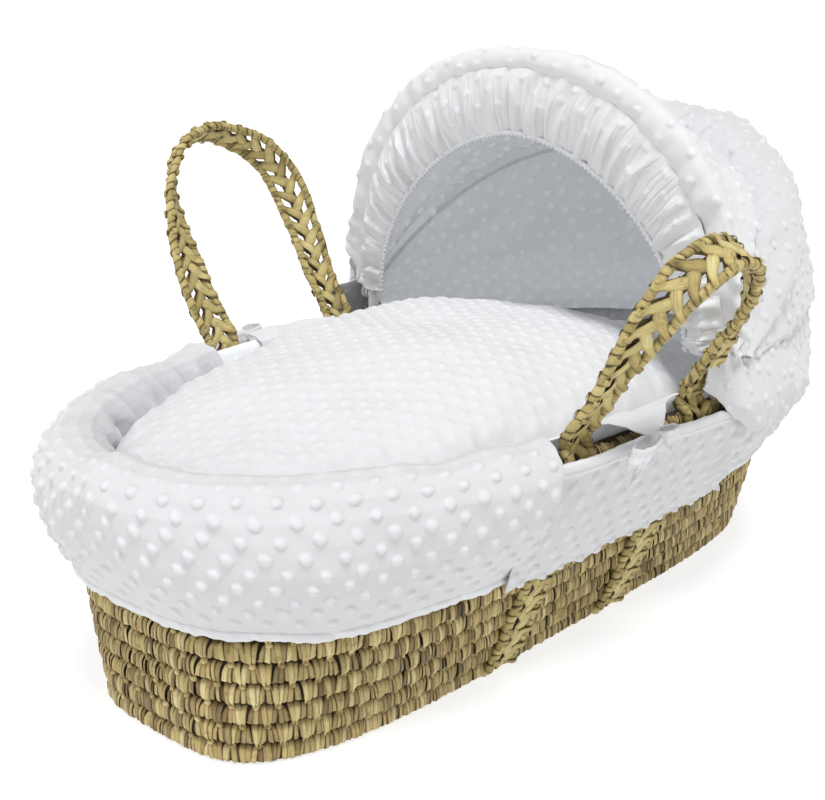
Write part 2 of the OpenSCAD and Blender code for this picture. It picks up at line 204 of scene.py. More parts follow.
def grid_faces(nu, nv, wrap_u=False, wrap_v=False):
    i = np.arange(nu if wrap_u else nu - 1)
    j = np.arange(nv if wrap_v else nv - 1)
    i, j = np.meshgrid(i, j, indexing="ij")
    ip, jp = (i + 1) % nu, (j + 1) % nv
    quads = np.stack([i * nv + j, ip * nv + j, ip * nv + jp, i * nv + jp], axis=-1)
    return quads.reshape(-1, 4)


def add_mesh(name, co, faces, material, uv=None, tint=None):
    """A mesh object from points and four-sided faces, with metric UVs and a tone for each point."""
    mesh = bpy.data.meshes.new(name)
    co = np.asarray(co, np.float32).reshape(-1, 3)
    faces = np.asarray(faces, np.int32).reshape(-1, 4)
    mesh.vertices.add(len(co))
    mesh.vertices.foreach_set("co", co.ravel())
    mesh.loops.add(faces.size)
    mesh.loops.foreach_set("vertex_index", faces.ravel())
    mesh.polygons.add(len(faces))
    mesh.polygons.foreach_set("loop_start", np.arange(0, faces.size, 4, dtype=np.int32))
    mesh.polygons.foreach_set("loop_total", np.full(len(faces), 4, np.int32))
    mesh.polygons.foreach_set("use_smooth", np.ones(len(faces), bool))
    if uv is not None:
        layer = mesh.uv_layers.new(name="metres")
        layer.data.foreach_set("uv", np.asarray(uv, np.float32).reshape(-1, 2)[faces.ravel()].ravel())
    tone = mesh.attributes.new("tone", "FLOAT", "POINT")
    values = np.full(len(co), 0.5, np.float32) if tint is None else np.asarray(tint, np.float32).ravel()
    tone.data.foreach_set("value", values)
    mesh.update(calc_edges=True)
    mesh.validate()
    piece = bpy.data.objects.new(name, mesh)
    bpy.context.scene.collection.objects.link(piece)
    mesh.materials.append(material)
    return piece


def pairs(u, v):
    """Metric coordinates for each point of a grid."""
    return np.stack(np.broadcast_arrays(u, v), -1)


def thicken(piece, thick, offset):
    solid = piece.modifiers.new("thickness", "SOLIDIFY")
    solid.thickness = thick
    solid.offset = offset


def add_sheet(name, points, u, v, material, tint=None, wrap=False, thick=0.0016):
    """One continuous sheet over a grid of points (n, m, 3)."""
    n, m = points.shape[:2]
    piece = add_mesh(name, points, grid_faces(n, m, wrap_u=wrap), material, pairs(u, v), tint)
    thicken(piece, thick, -1)
    return piece


def strip_faces(points, start=0):
    """The faces of many small sheets (k, n, m, 3), numbered from start."""
    k, n, m = points.shape[:3]
    return (np.arange(k)[:, None, None] * n * m + grid_faces(n, m)[None]).reshape(-1, 4) + start


def finish(piece, body, slot, *nodes):
    """Puts a piece on the body that it rides on and hides the CAD nodes that it stands for; slot is not used."""
    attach(piece, body)
    if nodes:
        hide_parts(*nodes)


def raise_by(points, normal, push):
    """Moves each point along its normal."""
    return points + normal * push[..., None]


def normals_of(points, wrap=False):
    """Unit normals of a grid of points."""
    if wrap:
        du = np.roll(points, -1, 0) - np.roll(points, 1, 0)
    else:
        du = np.gradient(points, axis=0)
    dv = np.gradient(points, axis=1)
    return unit(np.cross(du, dv))


def spread(points, axis):
    """Distance walked along one axis of a grid of points, from its start."""
    step = np.linalg.norm(np.diff(points, axis=axis), axis=-1)
    start = np.zeros_like(np.take(step, [0], axis=axis))
    return np.cumsum(np.concatenate([start, step], axis=axis), axis=axis)


def lookup(s, length, line):
    """The points of a line at distances s, where length is the distance of each of its own."""
    return np.stack([np.interp(s, length, line[:, k]) for k in range(line.shape[1])], -1)


def evenly(line, count):
    s = spread(line, 0)
    return lookup(np.linspace(0, s[-1], count), s, line)


def rounded(line, times):
    """Rounds off the corners of a line, and keeps its ends."""
    for _ in range(times):
        line[1:-1] = (line[:-2] + 2 * line[1:-1] + line[2:]) / 4
    return line


def resample(line, count, smooth=0):
    """Points spaced evenly along a polyline, rounded off at its corners."""
    dense = evenly(np.asarray(line, float), max(count * 8, 400))
    return evenly(rounded(dense, smooth), count)


# ---- materials ----

def new_material(name):
    material = bpy.data.materials.new(name)
    material.use_nodes = True
    tree = material.node_tree
    shader = tree.nodes["Principled BSDF"]
    return material, tree, shader


def node(tree, kind, **inputs):
    made = tree.nodes.new(kind)
    for key, value in inputs.items():
        made.inputs[key.replace("_", " ")].default_value = value
    return made


def ramp(tree, source, stops):
    made = tree.nodes.new("ShaderNodeValToRGB")
    while len(made.color_ramp.elements) < len(stops):
        made.color_ramp.elements.new(0.5)
    for element, (place, colour) in zip(made.color_ramp.elements, stops):
        element.position = place
        element.color = (*colour, 1)
    tree.links.new(source, made.inputs[0])
    return made.outputs[0]


def multiply(tree, colour, factor, amount=1.0):
    made = tree.nodes.new("ShaderNodeMix")
    made.data_type = "RGBA"
    made.blend_type = "MULTIPLY"
    made.inputs[0].default_value = amount
    tree.links.new(colour, made.inputs[6])
    tree.links.new(factor, made.inputs[7])
    return made.outputs[2]


def tone_of(tree):
    """The tone stored with each point."""
    made = tree.nodes.new("ShaderNodeAttribute")
    made.attribute_name = "tone"
    return made.outputs["Fac"]


def noise(tree, vector, scale, detail, roughness):
    made = node(tree, "ShaderNodeTexNoise", Scale=scale, Detail=detail, Roughness=roughness)
    tree.links.new(vector, made.inputs["Vector"])
    return made.outputs["Fac"]


def bump(tree, height, strength, distance, under=None):
    made = node(tree, "ShaderNodeBump", Strength=strength, Distance=distance)
    tree.links.new(height, made.inputs["Height"])
    if under:
        tree.links.new(under, made.inputs["Normal"])
    return made.outputs[0]


def in_place(tree):
    return tree.nodes.new("ShaderNodeTexCoord").outputs["Object"]


def dress(tree, shader, colour, normal=None, **values):
    """Links a shader's colour and bump, and sets its even values."""
    tree.links.new(colour, shader.inputs["Base Color"])
    if normal:
        tree.links.new(normal, shader.inputs["Normal"])
    for key, value in values.items():
        shader.inputs[key.replace("_", " ")].default_value = value


def palm_material(name, stops, rough=0.62):
    """Dry palm leaf: a tone for each strip, fine fibres along it, and brown specks."""
    material, tree, shader = new_material(name)
    coords = tree.nodes.new("ShaderNodeUVMap")
    coords.uv_map = "metres"
    stretch = node(tree, "ShaderNodeMapping", Scale=(1500, 70, 1))
    tree.links.new(coords.outputs[0], stretch.inputs["Vector"])
    fibre = noise(tree, stretch.outputs[0], 1.0, 3.0, 0.6)
    streak = ramp(tree, fibre, [(0.30, (0.62, 0.58, 0.50)), (0.52, (1, 1, 1)), (0.8, (1.0, 1.0, 0.97))])
    blotch = noise(tree, in_place(tree), 120.0, 4.0, 0.7)
    stain = ramp(tree, blotch, [(0.30, (0.50, 0.40, 0.28)), (0.46, (1, 1, 1))])
    colour = multiply(tree, multiply(tree, ramp(tree, tone_of(tree), stops), streak), stain, 0.7)
    dress(tree, shader, colour, bump(tree, fibre, 0.55, 0.0005), Roughness=rough, Specular_IOR_Level=0.35)
    return material


def cloth_material(name, colour, weave=2600.0, nap=0.35, sheen=0.25, depth=0.0004, painted_glow=0.0, between_dots_shade=1.0):
    """Soft cloth: a fine pile or weave in the bump, faint uneven tone, and a little sheen."""
    material, tree, shader = new_material(name)
    pile = noise(tree, in_place(tree), weave, 2.0, 0.6)
    patch = noise(tree, in_place(tree), weave / 40, 4.0, 0.65)
    low = tuple(c * (1 - 0.10 * nap) for c in colour)
    base = ramp(tree, patch, [(0.25, low), (0.7, colour)])
    speck = ramp(tree, pile, [(0.25, (1 - 0.10 * nap,) * 3), (0.6, (1, 1, 1))])
    # painted highlight: the raised dots are painted paler than the ground between them, for the light that their
    # tops catch
    dot_highlight = ramp(tree, tone_of(tree), [(0.05, (between_dots_shade,) * 3), (0.6, (1, 1, 1))])
    relief = bump(tree, patch, 0.5, depth * 2.5, under=bump(tree, pile, 0.5, depth))
    dress(tree, shader, multiply(tree, multiply(tree, base, speck), dot_highlight), relief, Roughness=0.85,
          Specular_IOR_Level=0.2, Sheen_Weight=sheen, Sheen_Roughness=0.45)
    # painted glow: a faint emission in the cloth's own colour stands in for the light that the thin cloth lets
    # through
    shader.inputs["Emission Color"].default_value = (*colour, 1)
    shader.inputs["Emission Strength"].default_value = painted_glow
    return material


STRAW = [
    (0.00, (0.025, 0.017, 0.009)), (0.22, (0.110, 0.075, 0.034)), (0.42, (0.235, 0.165, 0.068)),
    (0.62, (0.400, 0.305, 0.125)), (0.82, (0.540, 0.435, 0.195)), (1.00, (0.680, 0.580, 0.310))
]
GREENISH = [
    (0.00, (0.030, 0.022, 0.010)), (0.22, (0.120, 0.088, 0.035)), (0.42, (0.270, 0.210, 0.080)),
    (0.62, (0.430, 0.345, 0.135)), (0.82, (0.560, 0.470, 0.205)), (1.00, (0.660, 0.590, 0.310))
]
# painted shade: the grass core is coloured near black so that the gaps between the strips read dark
NEAR_BLACK_PAINTED_SHADE = [(0.0, (0.012, 0.008, 0.005)), (1.0, (0.075, 0.050, 0.024))]
palm_coil = palm_material("palm_coil", STRAW)
palm_strap = palm_material("palm_strap", GREENISH)
palm_core = palm_material("palm_core", NEAR_BLACK_PAINTED_SHADE, rough=0.8)
dimple_cloth = cloth_material("dimple_fabric", (0.655, 0.66, 0.675), between_dots_shade=0.93)
# painted light: the same dimple fabric made paler for the hood's front and ruffle, which face away from the lamps
hood_cloth_painted_lighter = cloth_material("hood_fabric_painted_lighter", (0.715, 0.72, 0.735), between_dots_shade=0.95)
quilt_cloth = cloth_material("quilt_fabric", (0.67, 0.675, 0.69), between_dots_shade=0.98)
cotton = cloth_material("smooth_cotton", (0.66, 0.67, 0.685), weave=1800.0, nap=0.25, sheen=0.15, depth=0.00025)
# painted light: the same dimple fabric made much paler for the linings inside the hood and the basket, where shade
# falls, with a painted glow
lining_cloth_painted_lighter = cloth_material("lining_fabric_painted_lighter", (0.84, 0.855, 0.88), painted_glow=0.12, between_dots_shade=0.92)


# ---- the basket's outline ----

def outline_axes(z):
    k = np.clip(z / WALL_H, 0, 1)
    return [mix(a, b, k) for a, b in zip(BASE, RIM)]


def wall(t, z, o):
    """A point of the basket's side at turn t (radians) and height z, moved outwards by o."""
    half_l, half_w, n = outline_axes(z)
    c = np.cos(t)
    side = np.maximum(1 - np.abs(c) ** n, 0) ** (1 / n)
    x = (half_l + o) * c
    y = (half_w + o) * side * np.sign(np.sin(t))
    return np.stack(np.broadcast_arrays(x, y, z + 0 * x), -1)


def turn_at(x):
    """The turn where the rim stands beside x."""
    return math.acos(x / RIM[0])


def even_turns(t0, t1, count, z=CLOTH_Z, o=CLOTH_OUT):
    """Turns between t0 and t1 whose points lie evenly spaced along the outline."""
    fine = np.linspace(t0, t1, 6000)
    s = spread(wall(fine, z, o), 0)
    return np.interp(np.linspace(0, s[-1], count), s, fine)


def along_wall(turns, z=CLOTH_Z, o=CLOTH_OUT):
    """Distance walked along the outline, from the first turn."""
    return spread(wall(turns, z, o), 0)


def wall_above(turns, z, o):
    """Points over the wall, which goes on straight up above the rim."""
    points = wall(turns, np.minimum(z, WALL_H), o)
    points[..., 2] = z
    return points


class Ring:
    """The outline at one height as a closed walk: places and outward normals by distance."""

    def __init__(self, z, o):
        fine = np.linspace(0, 2 * math.pi, 8001)
        points = wall(fine, z, o)[:, :2]
        s = spread(points, 0)
        self.length = s[-1]
        self.s = np.linspace(0, self.length, 2400, endpoint=False)
        closed = lookup(self.s, s, points)
        for _ in range(6):
            closed = (np.roll(closed, 1, 0) + 2 * closed + np.roll(closed, -1, 0)) / 4
        along = unit(np.roll(closed, -1, 0) - np.roll(closed, 1, 0))
        self.points = closed
        self.normal = np.stack([along[:, 1], -along[:, 0]], -1)

    def at(self, s):
        q = np.mod(s, self.length) / self.length * len(self.s)
        i = np.floor(q).astype(int) % len(self.s)
        j, f = (i + 1) % len(self.s), (q - np.floor(q))[..., None]
        return mix(self.points[i], self.points[j], f), unit(mix(self.normal[i], self.normal[j], f))


# ---- the woven basket ----



def powered(x, power):
    """A power that keeps the sign."""
    return np.sign(x) * np.abs(x) ** power


def coil_section(start, end, count):
    """Depth and height of the flat-faced coil section, at angles from its outer side."""
    angle = np.linspace(start, end, count)
    c, s = np.cos(angle), np.sin(angle)
    power = np.where(s < 0, 2 / 4.8, 2 / 2.4)
    depth = COIL_A * powered(c, power)
    height = COIL_B * np.where(s < 0, 0.86, 0.96) * powered(s, power)
    return np.stack([depth, height], -1)


def leaf_strips(ring, z, section, s_path, width, lift, tilt, seed, across=7):
    """Leaf strips over a coil: section (m, 2) is the way they go, s_path (k, m) where each one is."""
    k, m = s_path.shape
    r = rng(seed)
    x = np.linspace(-1, 1, across)[None, :, None]
    edge = np.gradient(section, axis=0)
    out = unit(np.stack([-edge[:, 1], edge[:, 0]], -1))
    out = out * np.sign(np.sum(out * section, -1).mean())
    s = s_path[:, None, :] + x * width[:, None, :] / 2 * 0.94
    ripple = 0.00025 * np.sin(r.uniform(0, 6.28, (k, 1, 1)) + x * r.uniform(1, 5, (k, 1, 1)))
    crown = 0.0003 * (1 - x ** 2) - 0.0003 * np.abs(x) ** 6
    lifted = lift[:, None, None] + crown + tilt[:, None, None] * x + ripple
    pull = np.linspace(-1, 1, m)[None, None, :]
    lifted = lifted - 0.0004 * np.abs(pull) ** 3
    place, normal = ring.at(s)
    depth = section[None, None, :, 0] + lifted * out[None, None, :, 0]
    height = section[None, None, :, 1] + lifted * out[None, None, :, 1]
    points = np.concatenate([place + normal * depth[..., None], (z + height)[..., None]], -1)
    along = spread(section, 0)[None, None, :] + 0 * s
    u = x * width[:, None, :] / 2 + r.uniform(0, 9, (k, 1, 1))
    return points, pairs(u, along + r.uniform(0, 9, (k, 1, 1)))


def strip_tones(count, place, seed):
    """A tone for each strip: mostly straw, in slowly changing patches, with some dull ones."""
    r = rng(seed)
    patch = waves(place, 0 * place + seed * 0.37, 0.11, 5)
    tone = 0.68 + 0.12 * patch + r.normal(0, 0.115, count)
    dull = r.random(count) < 0.13
    return np.clip(tone - dull * r.uniform(0.15, 0.35, count), 0.08, 0.98)


def crossing_places(index):
    """Where the strips of a row cross the gap under it, as shares of the way round."""
    r = rng(100 + index)
    return (np.arange(STITCHES) + 0.53 * index + r.normal(0, 0.055, STITCHES)) / STITCHES


def build_row(index):
    """One row of coil: its leaf strips and knots as one piece, and the grass inside as another."""
    z = (index + 0.5) * ROW_H
    ring = Ring(z, -WALL_T / 2)
    r = rng(200 + index)
    count = STITCHES
    pitch = ring.length / count
    own = crossing_places(index) * ring.length
    above = crossing_places(index + 1) * ring.length
    whole = index >= ROWS - 2
    low = -math.pi * (0.98 if whole else 0.62)

    pieces, uvs, tones = [], [], []
    # two strips that gather towards the gap below, cross it, and are tucked in over the next row
    front = coil_section(math.radians(118), math.radians(-42), 12)
    if index:
        drop = np.array([
            [COIL_A * 0.86, -COIL_B * 0.87], [COIL_A * 0.60, -COIL_B * 0.95],
            [COIL_A * 0.56, -ROW_H + COIL_B * 1.04], [COIL_A * 0.74, -ROW_H + COIL_B * 0.93]
        ])
    else:
        drop = coil_section(math.radians(-60), math.radians(-130), 4)
    section = resample(np.concatenate([front, drop]), 18, smooth=1)
    q = np.linspace(0, 1, len(section))[None]
    narrow = ease((q - 0.70) / 0.12)
    for lane, (top, low_at, lifted) in enumerate(((-0.0030, -0.0012, 0.0006), (0.0030, 0.0014, 0.0002))):
        width = mix(0.0066, 0.0050, ease(q / 0.7)) * (1 - 0.50 * narrow) * r.uniform(0.88, 1.10, count)[:, None]
        s_path = own[:, None] + mix(top, low_at, ease(q / 0.75)) + r.normal(0, 0.0006, count)[:, None] * (1 - q)
        strips, uv = leaf_strips(ring, z, section, s_path, width, lifted + r.uniform(-0.0002, 0.0004, count),
                                 r.normal(0.0001, 0.0004, count), 300 + index * 2 + lane)
        pieces.append(strips), uvs.append(uv)
        tones.append(np.clip(strip_tones(count, own, 400 + index + 40 * lane) + 0.06, 0, 1))

    # strips that fan out from the knot above, and fill the row up to the crossing strips
    section = coil_section(math.radians(104), low, 26 if whole else 16)
    q = np.linspace(0, 1, len(section))[None]
    fan = ease(q * (2.0 if whole else 1.12))
    for lane, (top, low_at) in enumerate(((-0.0022, -0.0056), (0.0002, 0.0), (0.0022, 0.0056))):
        middle = own + pitch * 0.5
        knot = middle + np.clip(np.mod(above - middle + pitch / 2, pitch) - pitch / 2, -0.003, 0.003)
        s_top = knot + top + r.normal(0, 0.0005, count)
        s_low = middle + low_at + r.normal(0.0008, 0.0008, count)
        s_path = mix(s_top[:, None], s_low[:, None], fan)
        width = mix(0.0044, (0.0060, 0.0054, 0.0060)[lane], fan) * r.uniform(0.82, 1.08, count)[:, None]
        lift = r.uniform(-0.0005, 0.0003, count) + (0.0003 if lane == 1 else 0)
        strips, uv = leaf_strips(ring, z, section, s_path, width, lift, r.normal(0, 0.0005, count),
                                 500 + index * 3 + lane)
        pieces.append(strips), uvs.append(uv)
        tones.append(strip_tones(count, middle, 600 + index * 3 + lane))

    # the knots at the top edge of the row
    if index < ROWS - 1:
        pieces.append(build_knots(ring, z, above, index))
        side = np.linspace(0, 0.01, KNOT_GRID)
        uvs.append(np.stack(np.meshgrid(np.arange(count), side, side, indexing="ij")[1:], -1))
        tones.append(np.clip(strip_tones(count, above, 700 + index) + 0.02, 0, 1))

    co, faces, uv_all, tone_all, start = [], [], [], [], 0
    for points, uv, tone in zip(pieces, uvs, tones):
        n, m = points.shape[1:3]
        faces.append(strip_faces(points, start))
        co.append(points.reshape(-1, 3))
        uv_all.append(uv.reshape(-1, 2))
        down = np.linspace(0, 1, m)[None]
        # painted shade: each strip is darker along its edges, where the slits between strips lie in shade, and
        # under the row above, where its shadow falls
        painted_shade = 0.55 * np.abs(np.linspace(-1, 1, n)[:, None]) ** 5
        painted_shade = painted_shade + 0.55 * (1 - ease((down - 0.06) / 0.20)) * (m != KNOT_GRID)
        tone_all.append(np.clip(tone[:, None] - painted_shade.ravel()[None], 0.02, 1).ravel())
        start += len(co[-1])
    co, faces, uv_all, tone_all = (np.concatenate(a) for a in (co, faces, uv_all, tone_all))
    wraps = add_mesh(f"row_{index + 1:02d}_leaf_wraps", co, faces, palm_coil, uv_all, tone_all)
    core = build_core(ring, z, index)
    finish(wraps, "basket", "palm_coil", f"wall_row_{index + 1:02d}" if index < ROWS - 1 else "rim_row")
    finish(core, "basket", "palm_coil")


def build_knots(ring, z, places, index):
    """Small tight knots of leaf at the top edge of a row."""
    k = len(places)
    r = rng(800 + index)
    a = np.linspace(-math.pi / 2, math.pi / 2, KNOT_GRID)[None, :, None]
    b = np.linspace(-math.pi / 2, math.pi / 2, KNOT_GRID)[None, None, :]
    half_w = r.uniform(0.0024, 0.0034, k)[:, None, None]
    half_h = r.uniform(0.0018, 0.0026, k)[:, None, None]
    turn = r.normal(0, 0.35, k)[:, None, None]
    groove = 1 + 0.10 * np.sin(b * 5 + r.uniform(0, 6, k)[:, None, None])
    u = half_w * np.sin(a) * groove
    v = half_h * np.cos(a) * np.sin(b)
    w = r.uniform(0.0022, 0.0030, k)[:, None, None] * np.cos(a) * np.cos(b) * groove
    s = places[:, None, None] + u * np.cos(turn) - v * np.sin(turn)
    height = z + COIL_B * 0.93 + u * np.sin(turn) + v * np.cos(turn)
    place, normal = ring.at(s)
    depth = COIL_A * 0.78 + w
    return np.concatenate([place + normal * depth[..., None], height[..., None]], -1)


def build_core(ring, z, index):
    """The bundle of grass inside the coil, coloured near black as painted shade where it shows between the strips.
    """
    turns = int(ring.length / 0.004)
    angle = np.linspace(0, 2 * math.pi, 17)[:-1]
    s = np.linspace(0, ring.length, turns, endpoint=False)
    section = np.stack([(COIL_A - 0.0022) * np.cos(angle), (COIL_B + 0.0013) * np.sin(angle)], -1)
    place, normal = ring.at(np.repeat(s[:, None], len(angle), 1))
    stem = 0.0004 * np.sin(angle[None] * 9 + s[:, None] * 40)
    stem = stem + 0.0003 * waves(s[:, None], angle[None] * 0.01, 0.01, index)
    depth = section[None, :, 0] + stem * np.cos(angle)
    height = z + section[None, :, 1] + stem * np.sin(angle) * 0.3
    points = np.concatenate([place + normal * depth[..., None], height[..., None]], -1)
    uv = pairs(angle[None] * COIL_A, s[:, None])
    tone = np.clip(0.35 + 0.3 * waves(s[:, None], angle[None] * 0.02, 0.02, index + 50), 0, 1)
    faces = grid_faces(turns, len(angle), True, True)
    return add_mesh(f"row_{index + 1:02d}_grass_core", points, faces, palm_core, uv, tone)


for row in range(ROWS):
    build_row(row)


# ---- straps and handles ----

def strap_frames(line, wide, count):
    """Places, widthways, thickness and lengthways directions along a strap's middle line."""
    s = spread(line, 0)
    dense = rounded(lookup(np.linspace(0, s[-1], count), s, np.concatenate([line, wide], -1)), 10)
    centre = dense[:, :3]
    along = unit(np.gradient(centre, axis=0))
    wide = dense[:, 3:]
    wide = unit(wide - along * np.sum(wide * along, -1, keepdims=True))
    return centre, wide, np.cross(along, wide), spread(centre, 0)


def on_strap(frames, s, x, h):
    """Points of a strap at length s, across by x and up by h."""
    centre, wide, thick, length = frames
    across = lookup(s, length, wide) * x[..., None]
    return lookup(s, length, centre) + across + lookup(s, length, thick) * h[..., None]


def build_strap(name, frames, seed, body=None):
    """A plaited strap: two leaf-wrapped edge cords and a middle plait tied to both by bridges."""
    length = frames[3][-1]
    r = rng(seed)
    cords = []
    # edge cords, wrapped in a spiral
    for side in (-1, 1):
        n = int(length / 0.0011)
        s = np.linspace(0.0, length, n)[:, None]
        a = np.linspace(0, 2 * math.pi, 15)[None, :-1]
        wrap = r.uniform(0.0085, 0.0100)
        wobble = 0.12 * np.sin(s * 310 + side) + 0.09 * np.sin(s * 517 + 2 * side)
        turn = s / wrap + side * a / (2 * math.pi) + wobble
        ridge = np.mod(turn, 1)
        from_edge = np.minimum(ridge, 1 - ridge)
        swell = 1 + 0.16 * np.sqrt(np.clip(1 - ridge, 0, 1)) - 0.20 * np.exp(-(from_edge / 0.07) ** 2)
        radius = (CORD_R - 0.0006) * swell
        radius = radius * (1 + 0.05 * np.sin(s * 170 + 3 * side))
        x = side * (STRAP_W / 2 - CORD_R) + radius * np.cos(a) + 0.0006 * np.sin(s * 83 + side)
        h = radius * np.sin(a) + 0.0005 * np.sin(s * 120)
        points = on_strap(frames, s + 0 * a, x, h)
        step = np.floor(turn)
        tone = 0.66 + 0.16 * np.sin(step * 12.9898 + seed + side * 3) * np.sin(step * 4.137)
        # painted shade: darker in the groove where one wrap of leaf meets the next
        tone = tone - 0.60 * np.exp(-(from_edge / 0.08) ** 2)
        cords.append((points, pairs(s, a * CORD_R), np.clip(tone, 0.02, 1)))
    n, m = cords[0][0].shape[:2]
    one = grid_faces(n, m, wrap_v=True)
    points, uv, tone = (np.concatenate(both) for both in zip(*cords))
    cord_piece = add_mesh(f"{name}_edge_cords", points, np.concatenate([one, one + n * m]), palm_strap, uv, tone)

    # ribbons: each leaves a cord, crosses to the middle and runs up along it under the next one
    strips, uvs, tones = [], [], []
    across = np.linspace(-1, 1, 7)[None, :, None]
    q = np.linspace(0, 1, 22)[None, None, :]
    for side in (-1, 1):
        start = np.arange(-0.5 if side > 0 else 0.0, length / PLAIT_PITCH - 0.2) * PLAIT_PITCH
        k = len(start)
        begin = start[:, None, None] + r.normal(0, 0.0008, (k, 1, 1))
        path_x = side * mix(0.0192, -0.0052, ease(q * 0.92) ** 0.85)
        path_s = begin + 0.0255 * np.clip(q - 0.18, 0, 1) ** 1.45 / 0.82 ** 1.45
        over_cord = np.exp(-((np.abs(path_x) - (STRAP_W / 2 - CORD_R)) / 0.0042) ** 2)
        rise_h = 0.0052 * over_cord + 0.0022 * np.exp(-((q - 0.62) / 0.22) ** 2) - 0.0016 * ease((q - 0.72) / 0.28)
        width = (0.0062 + 0.0046 * np.exp(-((q - 0.66) / 0.24) ** 2)) * r.uniform(0.9, 1.1, (k, 1, 1))
        width = width * (1 - 0.45 * ease((q - 0.86) / 0.14))
        dx, ds = np.gradient(path_x + 0 * begin, axis=2), np.gradient(path_s + 0 * begin, axis=2)
        norm = np.hypot(dx, ds)
        off_x, off_s = -ds / norm, dx / norm
        s = path_s + off_s * across * width / 2
        x = path_x + off_x * across * width / 2
        fold = 0.0009 * (1 - across ** 2) - 0.0008 * across * side * np.exp(-((q - 0.62) / 0.3) ** 2)
        crease = 0.0003 * np.sin(across * r.uniform(4, 9, (k, 1, 1)) + r.uniform(0, 6, (k, 1, 1)))
        for face in (1, -1):
            h = face * (rise_h + fold + crease + 0.0004)
            strips.append(on_strap(frames, np.clip(s, 0, length), x, h))
            uvs.append(pairs(across * width / 2 + 3.1 * begin, q * 0.03 + begin))
            # painted shade: each ribbon is darker along its edges and towards its end, where it runs under the
            # next one; it is also darker where it crosses a cord
            tone = 0.76 + r.normal(0, 0.10, (k, 1, 1)) - 0.34 * np.abs(across) ** 4
            tone = tone - 0.45 * ease((q - 0.72) / 0.28) - 0.20 * over_cord
            tones.append(np.broadcast_to(np.clip(tone, 0.04, 1), s.shape))
    points, uv, tone = (np.concatenate(a) for a in (strips, uvs, tones))
    plait = add_mesh(f"{name}_plait", points, strip_faces(points), palm_strap, uv, tone)

    # the hidden core that the middle plait is folded around, coloured near black as painted shade where it shows
    # between the ribbons
    n = int(length / 0.003)
    s = np.linspace(0, length, n)[:, None]
    a = np.linspace(0, 2 * math.pi, 13)[None, :-1]
    x = 0.0052 * np.cos(a) + 0 * s
    h = 0.0016 * np.sin(a) + 0 * s
    faces = grid_faces(n, 12, wrap_v=True)
    points = on_strap(frames, s + 0 * a, x, h)
    heart = add_mesh(f"{name}_plait_core", points, faces, palm_core, pairs(s, a * 0.003), np.full(x.shape, 0.7))
    made = [cord_piece, plait, heart]
    for piece in made:
        if body:
            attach(piece, body)
    return made


def handle_point(side, u, w, v, lean):
    y = HINGE_Y + w * math.sin(lean) + v * math.cos(lean)
    z = HINGE_Z + w * math.cos(lean) - v * math.sin(lean)
    return np.stack(np.broadcast_arrays(HANDLE_X + u, side * y, z), -1)


def curve_through(points, count):
    """A smooth curve through control points, as evenly spaced points."""
    p = np.asarray(points, float)
    p = np.concatenate([2 * p[:1] - p[1:2], p, 2 * p[-1:] - p[-2:-1]])
    f = np.linspace(0, 1, 24, endpoint=False)[:, None]
    line = []
    for a, b, c, d in zip(p, p[1:], p[2:], p[3:]):
        bend = (2 * a - 5 * b + 4 * c - d) * f * f
        line.append(0.5 * (2 * b + (c - a) * f + bend + (3 * b - a - 3 * c + d) * f ** 3))
    return evenly(np.concatenate(line + [p[-2:-1]]), count)


def handle_frames(side, lean, path):
    """The loop's middle line, from one leg's foot over the arch to the other's."""
    loop = curve_through(path, 200) / 1000
    u, w = loop.T
    step = unit(np.gradient(loop, axis=0))
    part = np.linspace(0, 1, len(loop))
    twist = np.radians(90 * ease((np.minimum(part, 1 - part) * 2 - 0.15) / 0.85))
    line = handle_point(side, u, w, 0 * u, lean)
    inward = handle_point(side, u + step[:, 1], w - step[:, 0], 0 * u, lean) - line
    out = handle_point(side, u, w, 1 + 0 * u, lean) - line
    wide = unit(np.cos(twist)[:, None] * inward + np.sin(twist)[:, None] * out)
    # the feet go down in front of the rim coil, where the lashings hold them
    roots = []
    for x in (u[0], u[-1]):
        foot = wall_beside(HANDLE_X + x, 0.186, side, 0.0055)
        over = wall_beside(HANDLE_X + x, 0.222, side, 0.0035)
        hinge = handle_point(side, np.array(x), 0.0, 0.0, lean)
        roots.append(resample(np.array([foot, over, hinge]), 30)[:-1])
    line = np.concatenate([roots[0], line, roots[1][::-1]])
    wide = np.concatenate([np.repeat(wide[:1], 29, 0), wide, np.repeat(wide[-1:], 29, 0)])
    return strap_frames(line, wide, 520)


def wall_beside(x, z, side, o):
    """The point of the basket's side beside x."""
    half_l, half_w, n = outline_axes(z)
    y = half_w * (1 - abs(x / half_l) ** n) ** (1 / n) + o
    return np.array([x, side * y, z])


def build_handles():
    for side, lean, path, end in ((-1, NEAR_LEAN, NEAR_PATH, "near"), (1, FAR_LEAN, FAR_PATH, "far")):
        name = f"{end}_handle"
        made = build_strap(name, handle_frames(side, lean, path), 20 + side)
        for piece in made:
            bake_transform(piece)
        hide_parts(f"{name}_cords", f"{name}_eyes")
        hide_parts(f"{name}_braid", f"{end}_lashings")


def build_belly_straps():
    for x, name in ((HANDLE_X - HANDLE_HALF, "belly_strap_foot"), (HANDLE_X + HANDLE_HALF, "belly_strap_head")):
        up = [wall_beside(x, z, -1, 0.0045) for z in np.linspace(0.205, 0.020, 24)]
        low = wall_beside(x, 0.008, -1, 0.003)
        half = np.array(up + [low, [x, low[1] + 0.010, CORD_R], [x, low[1] + 0.03, CORD_R]])
        line = np.concatenate([half, (half * [1, -1, 1])[::-1]])
        wide = np.tile([1.0, 0, 0], (len(line), 1))
        made = build_strap(name, strap_frames(line, wide, 520), 31, "basket")
        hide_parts(name)


build_handles()
build_belly_straps()


# ---- cloth over the basket ----

